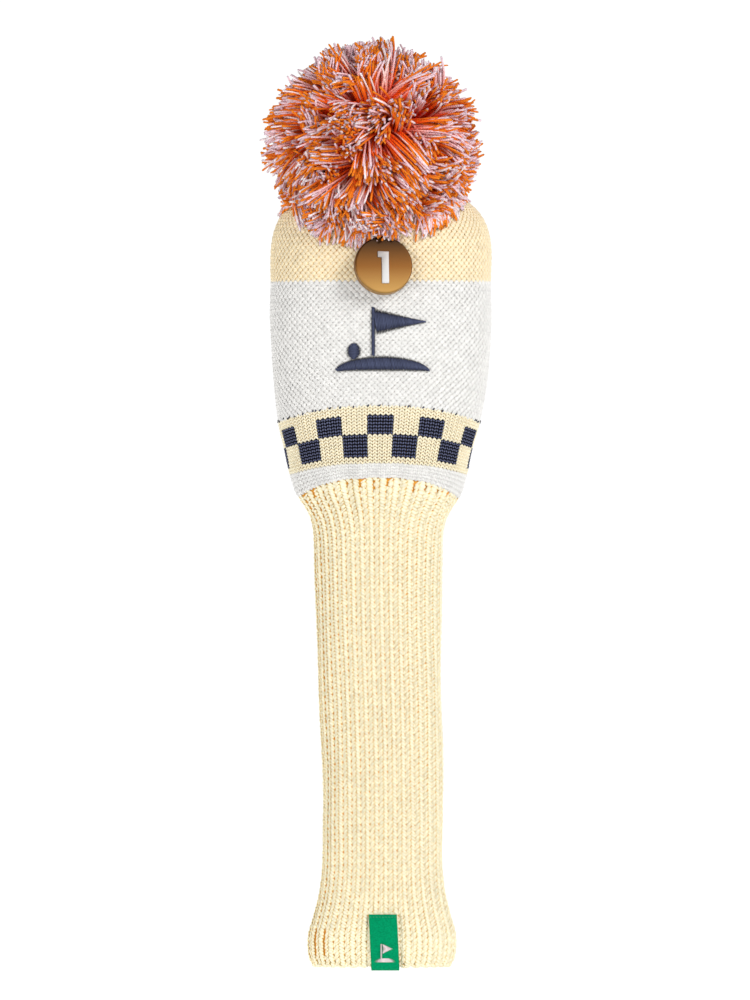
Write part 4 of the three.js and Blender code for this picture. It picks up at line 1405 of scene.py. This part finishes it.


# ---------------------------------------------------------------- behind the stitches, and inside
# The hem, sleeve, checker and crown sheets are coloured as painted shade, the way the gaps between their
# stitches look in shade.
SHELLS = (
    # name, edges at the bottom and the top, columns, row height, depths
    ("hem_painted_gap_shade", HEM_BACK_START, HEM_TOP, RIBS * 8, 2.5 * MM, HEM_DEPTHS),
    ("sleeve_painted_gap_shade", HEM_TOP, NECK_TOP, RIBS * 8, 3 * MM, SLEEVE_DEPTHS),
    ("white_strip_backing", NECK_TOP, STRIP_TOP, 180, 2 * MM, SHELL_DEPTHS),
    ("checker_painted_gap_shade", STRIP_TOP, BAND_TOP, 180, 3 * MM, SHELL_DEPTHS),
    ("white_panel_backing", BAND_TOP, crown_back_start, 180, 3 * MM, SHELL_DEPTHS),
    ("crown_painted_gap_shade", crown_back_start, CROWN_EYE, 180, 2.5 * MM, SHELL_DEPTHS),
    ("lining_fleece_shell", LINING_FOOT, LINING_ROOF, 120, 4 * MM, LINING_DEPTHS),
)
SHELL_FINISHES = (
    # material, slot, body, and the node that it stands for, in the same order
    (YELLOW_GAP_SHADE, "yellow_rib_knit", "sleeve"),
    (YELLOW_GAP_SHADE, "yellow_rib_knit", NECK_BEND),
    (WHITE_BACK, "white_knit", NECK_BEND),
    (BAND_GAP_SHADE, "checker_knit", "head"),
    (WHITE_BACK, "white_knit", "head"),
    (CROWN_GAP_SHADE, "yellow_crown_knit", "head"),
    (FLEECE, "lining_fleece", "head", "head_lining"),
)


def build_shells():
    """The layers behind the stitches, which show only in the gaps and, behind the yellow and checker knits,
    carry painted shade; and the head's fleece lining.
    """
    for shape, (material, *placing) in zip(SHELLS, SHELL_FINISHES):
        place(shell(*shape, material), *placing)


def dress_hidden_nodes():
    """Finishes for the CAD nodes that stay as they are."""
    finishes = {
        "crown_gather_cord": CORD,
        "pom_tie_cord": CORD,
        "pom_anchor_button": PLASTIC,
        "badge_shank": STEEL,
        "badge_back_plate": STEEL,
        "emblem_backing": SHEET,
    }
    for node, material in finishes.items():
        for slot in frame["nodes"][node].material_slots:
            slot.material = material


# ---------------------------------------------------------------- stage, light and camera
FLOOR_DROP = 25 * MM  # below the mouth
FLOOR_SIZE = 6.0
ROOM_LEVEL = 0.46
BACK_LEVEL = 1.05  # the room's level far behind the cover
CEILING = 0.5  # how much of the room's level is left straight above
KEY_POWER = 27  # soft box, high on the right
FILL_POWER = 22  # wide and low on the left, so that both sides of the head are equally light
LIGHT_TARGET = (0, 0, -0.1)
CAMERA_DISTANCE = 8.0
VIEW_OVER_HEIGHT = 1.0783  # height of the view over the cover's own
CAMERA_X = -2.6 * MM
CAMERA_RISE = 1.1 * MM  # above the cover's middle


def link(name, data):
    """A new object in the scene."""
    thing = bpy.data.objects.new(name, data)
    bpy.context.scene.collection.objects.link(thing)
    return thing


def build_stage():
    """A white paper floor, which glows behind the cover so that no horizon shows."""
    height = MOUTH - FLOOR_DROP
    corners = [(x * FLOOR_SIZE, y * FLOOR_SIZE, height) for x, y in ((-1, -1), (1, -1), (1, 1), (-1, 1))]
    shader = Shader("stage_paper", roughness=0.9, specular=0.1, Emission_Color=(1, 1, 1, 1))
    colour = shader.ramp(shader.noise(40.0), (0.3, (246, 246, 246)), (0.7, (250, 250, 250)))
    glow = shader.spread(shader.part(shader.coords(), 1), 0.1, 0.72, -0.25, 0.1)
    paper = shader.finish(colour, **{"Emission Strength": glow})
    new_mesh("floor", np.array(corners), np.arange(4), paper)


def area_light(name, location, size, power):
    light = bpy.data.lights.new(name, "AREA")
    light.shape = "DISK"
    light.size = size
    light.energy = power
    thing = link(name, light)
    thing.location = location
    thing.rotation_euler = (Vector(LIGHT_TARGET) - Vector(location)).to_track_quat("-Z", "Y").to_euler()


def build_light():
    """A pale room, lighter behind the cover and darker overhead, with a key light and a fill light."""
    world = bpy.data.worlds.new("studio")
    world.use_nodes = True
    room = Nodes(world.node_tree)
    heading = room.coords("Generated")
    level = room.spread(room.part(heading, 1), ROOM_LEVEL, BACK_LEVEL, 0.55, 0.95)
    overhead = room.spread(room.part(heading, 2), 1.0, CEILING, 0.55, 0.8)
    background = world.node_tree.nodes["Background"].inputs
    background["Color"].default_value = (1, 1, 1, 1)
    room.feed(background["Strength"], room.math("MULTIPLY", level, overhead))
    area_light("key", (1.32, -1.43, 0.89), 0.8, KEY_POWER)
    area_light("fill", (-1.5, -1.6, -0.2), 1.2, FILL_POWER)
    scene = bpy.context.scene
    scene.world = world
    scene.view_settings.view_transform = "Standard"
    scene.view_settings.look = "None"


def build_camera():
    """A long lens level with the middle of the cover, straight from the front."""
    low, high = CAD_BOUNDS
    camera = bpy.data.cameras.new("camera")
    camera.sensor_fit = "VERTICAL"
    camera.sensor_height = 24
    camera.lens = camera.sensor_height * CAMERA_DISTANCE / (VIEW_OVER_HEIGHT * (high.z - low.z))
    camera.clip_end = 50
    thing = link("camera", camera)
    thing.location = (CAMERA_X, -CAMERA_DISTANCE, (low.z + high.z) / 2 + CAMERA_RISE)
    thing.rotation_euler = (np.pi / 2, 0, 0)
    bpy.context.scene.camera = thing


# ---------------------------------------------------------------- build
build_white_panel()
build_crown()
build_checker_band()
build_white_strip()
build_seam()
build_ribs()
build_mouth_edge()
build_pom_core()
build_pom_binding()
build_pom()
build_emblem()
build_badge_number(build_badge_cap())
build_label()
build_shells()
dress_hidden_nodes()
build_stage()
build_light()
build_camera()
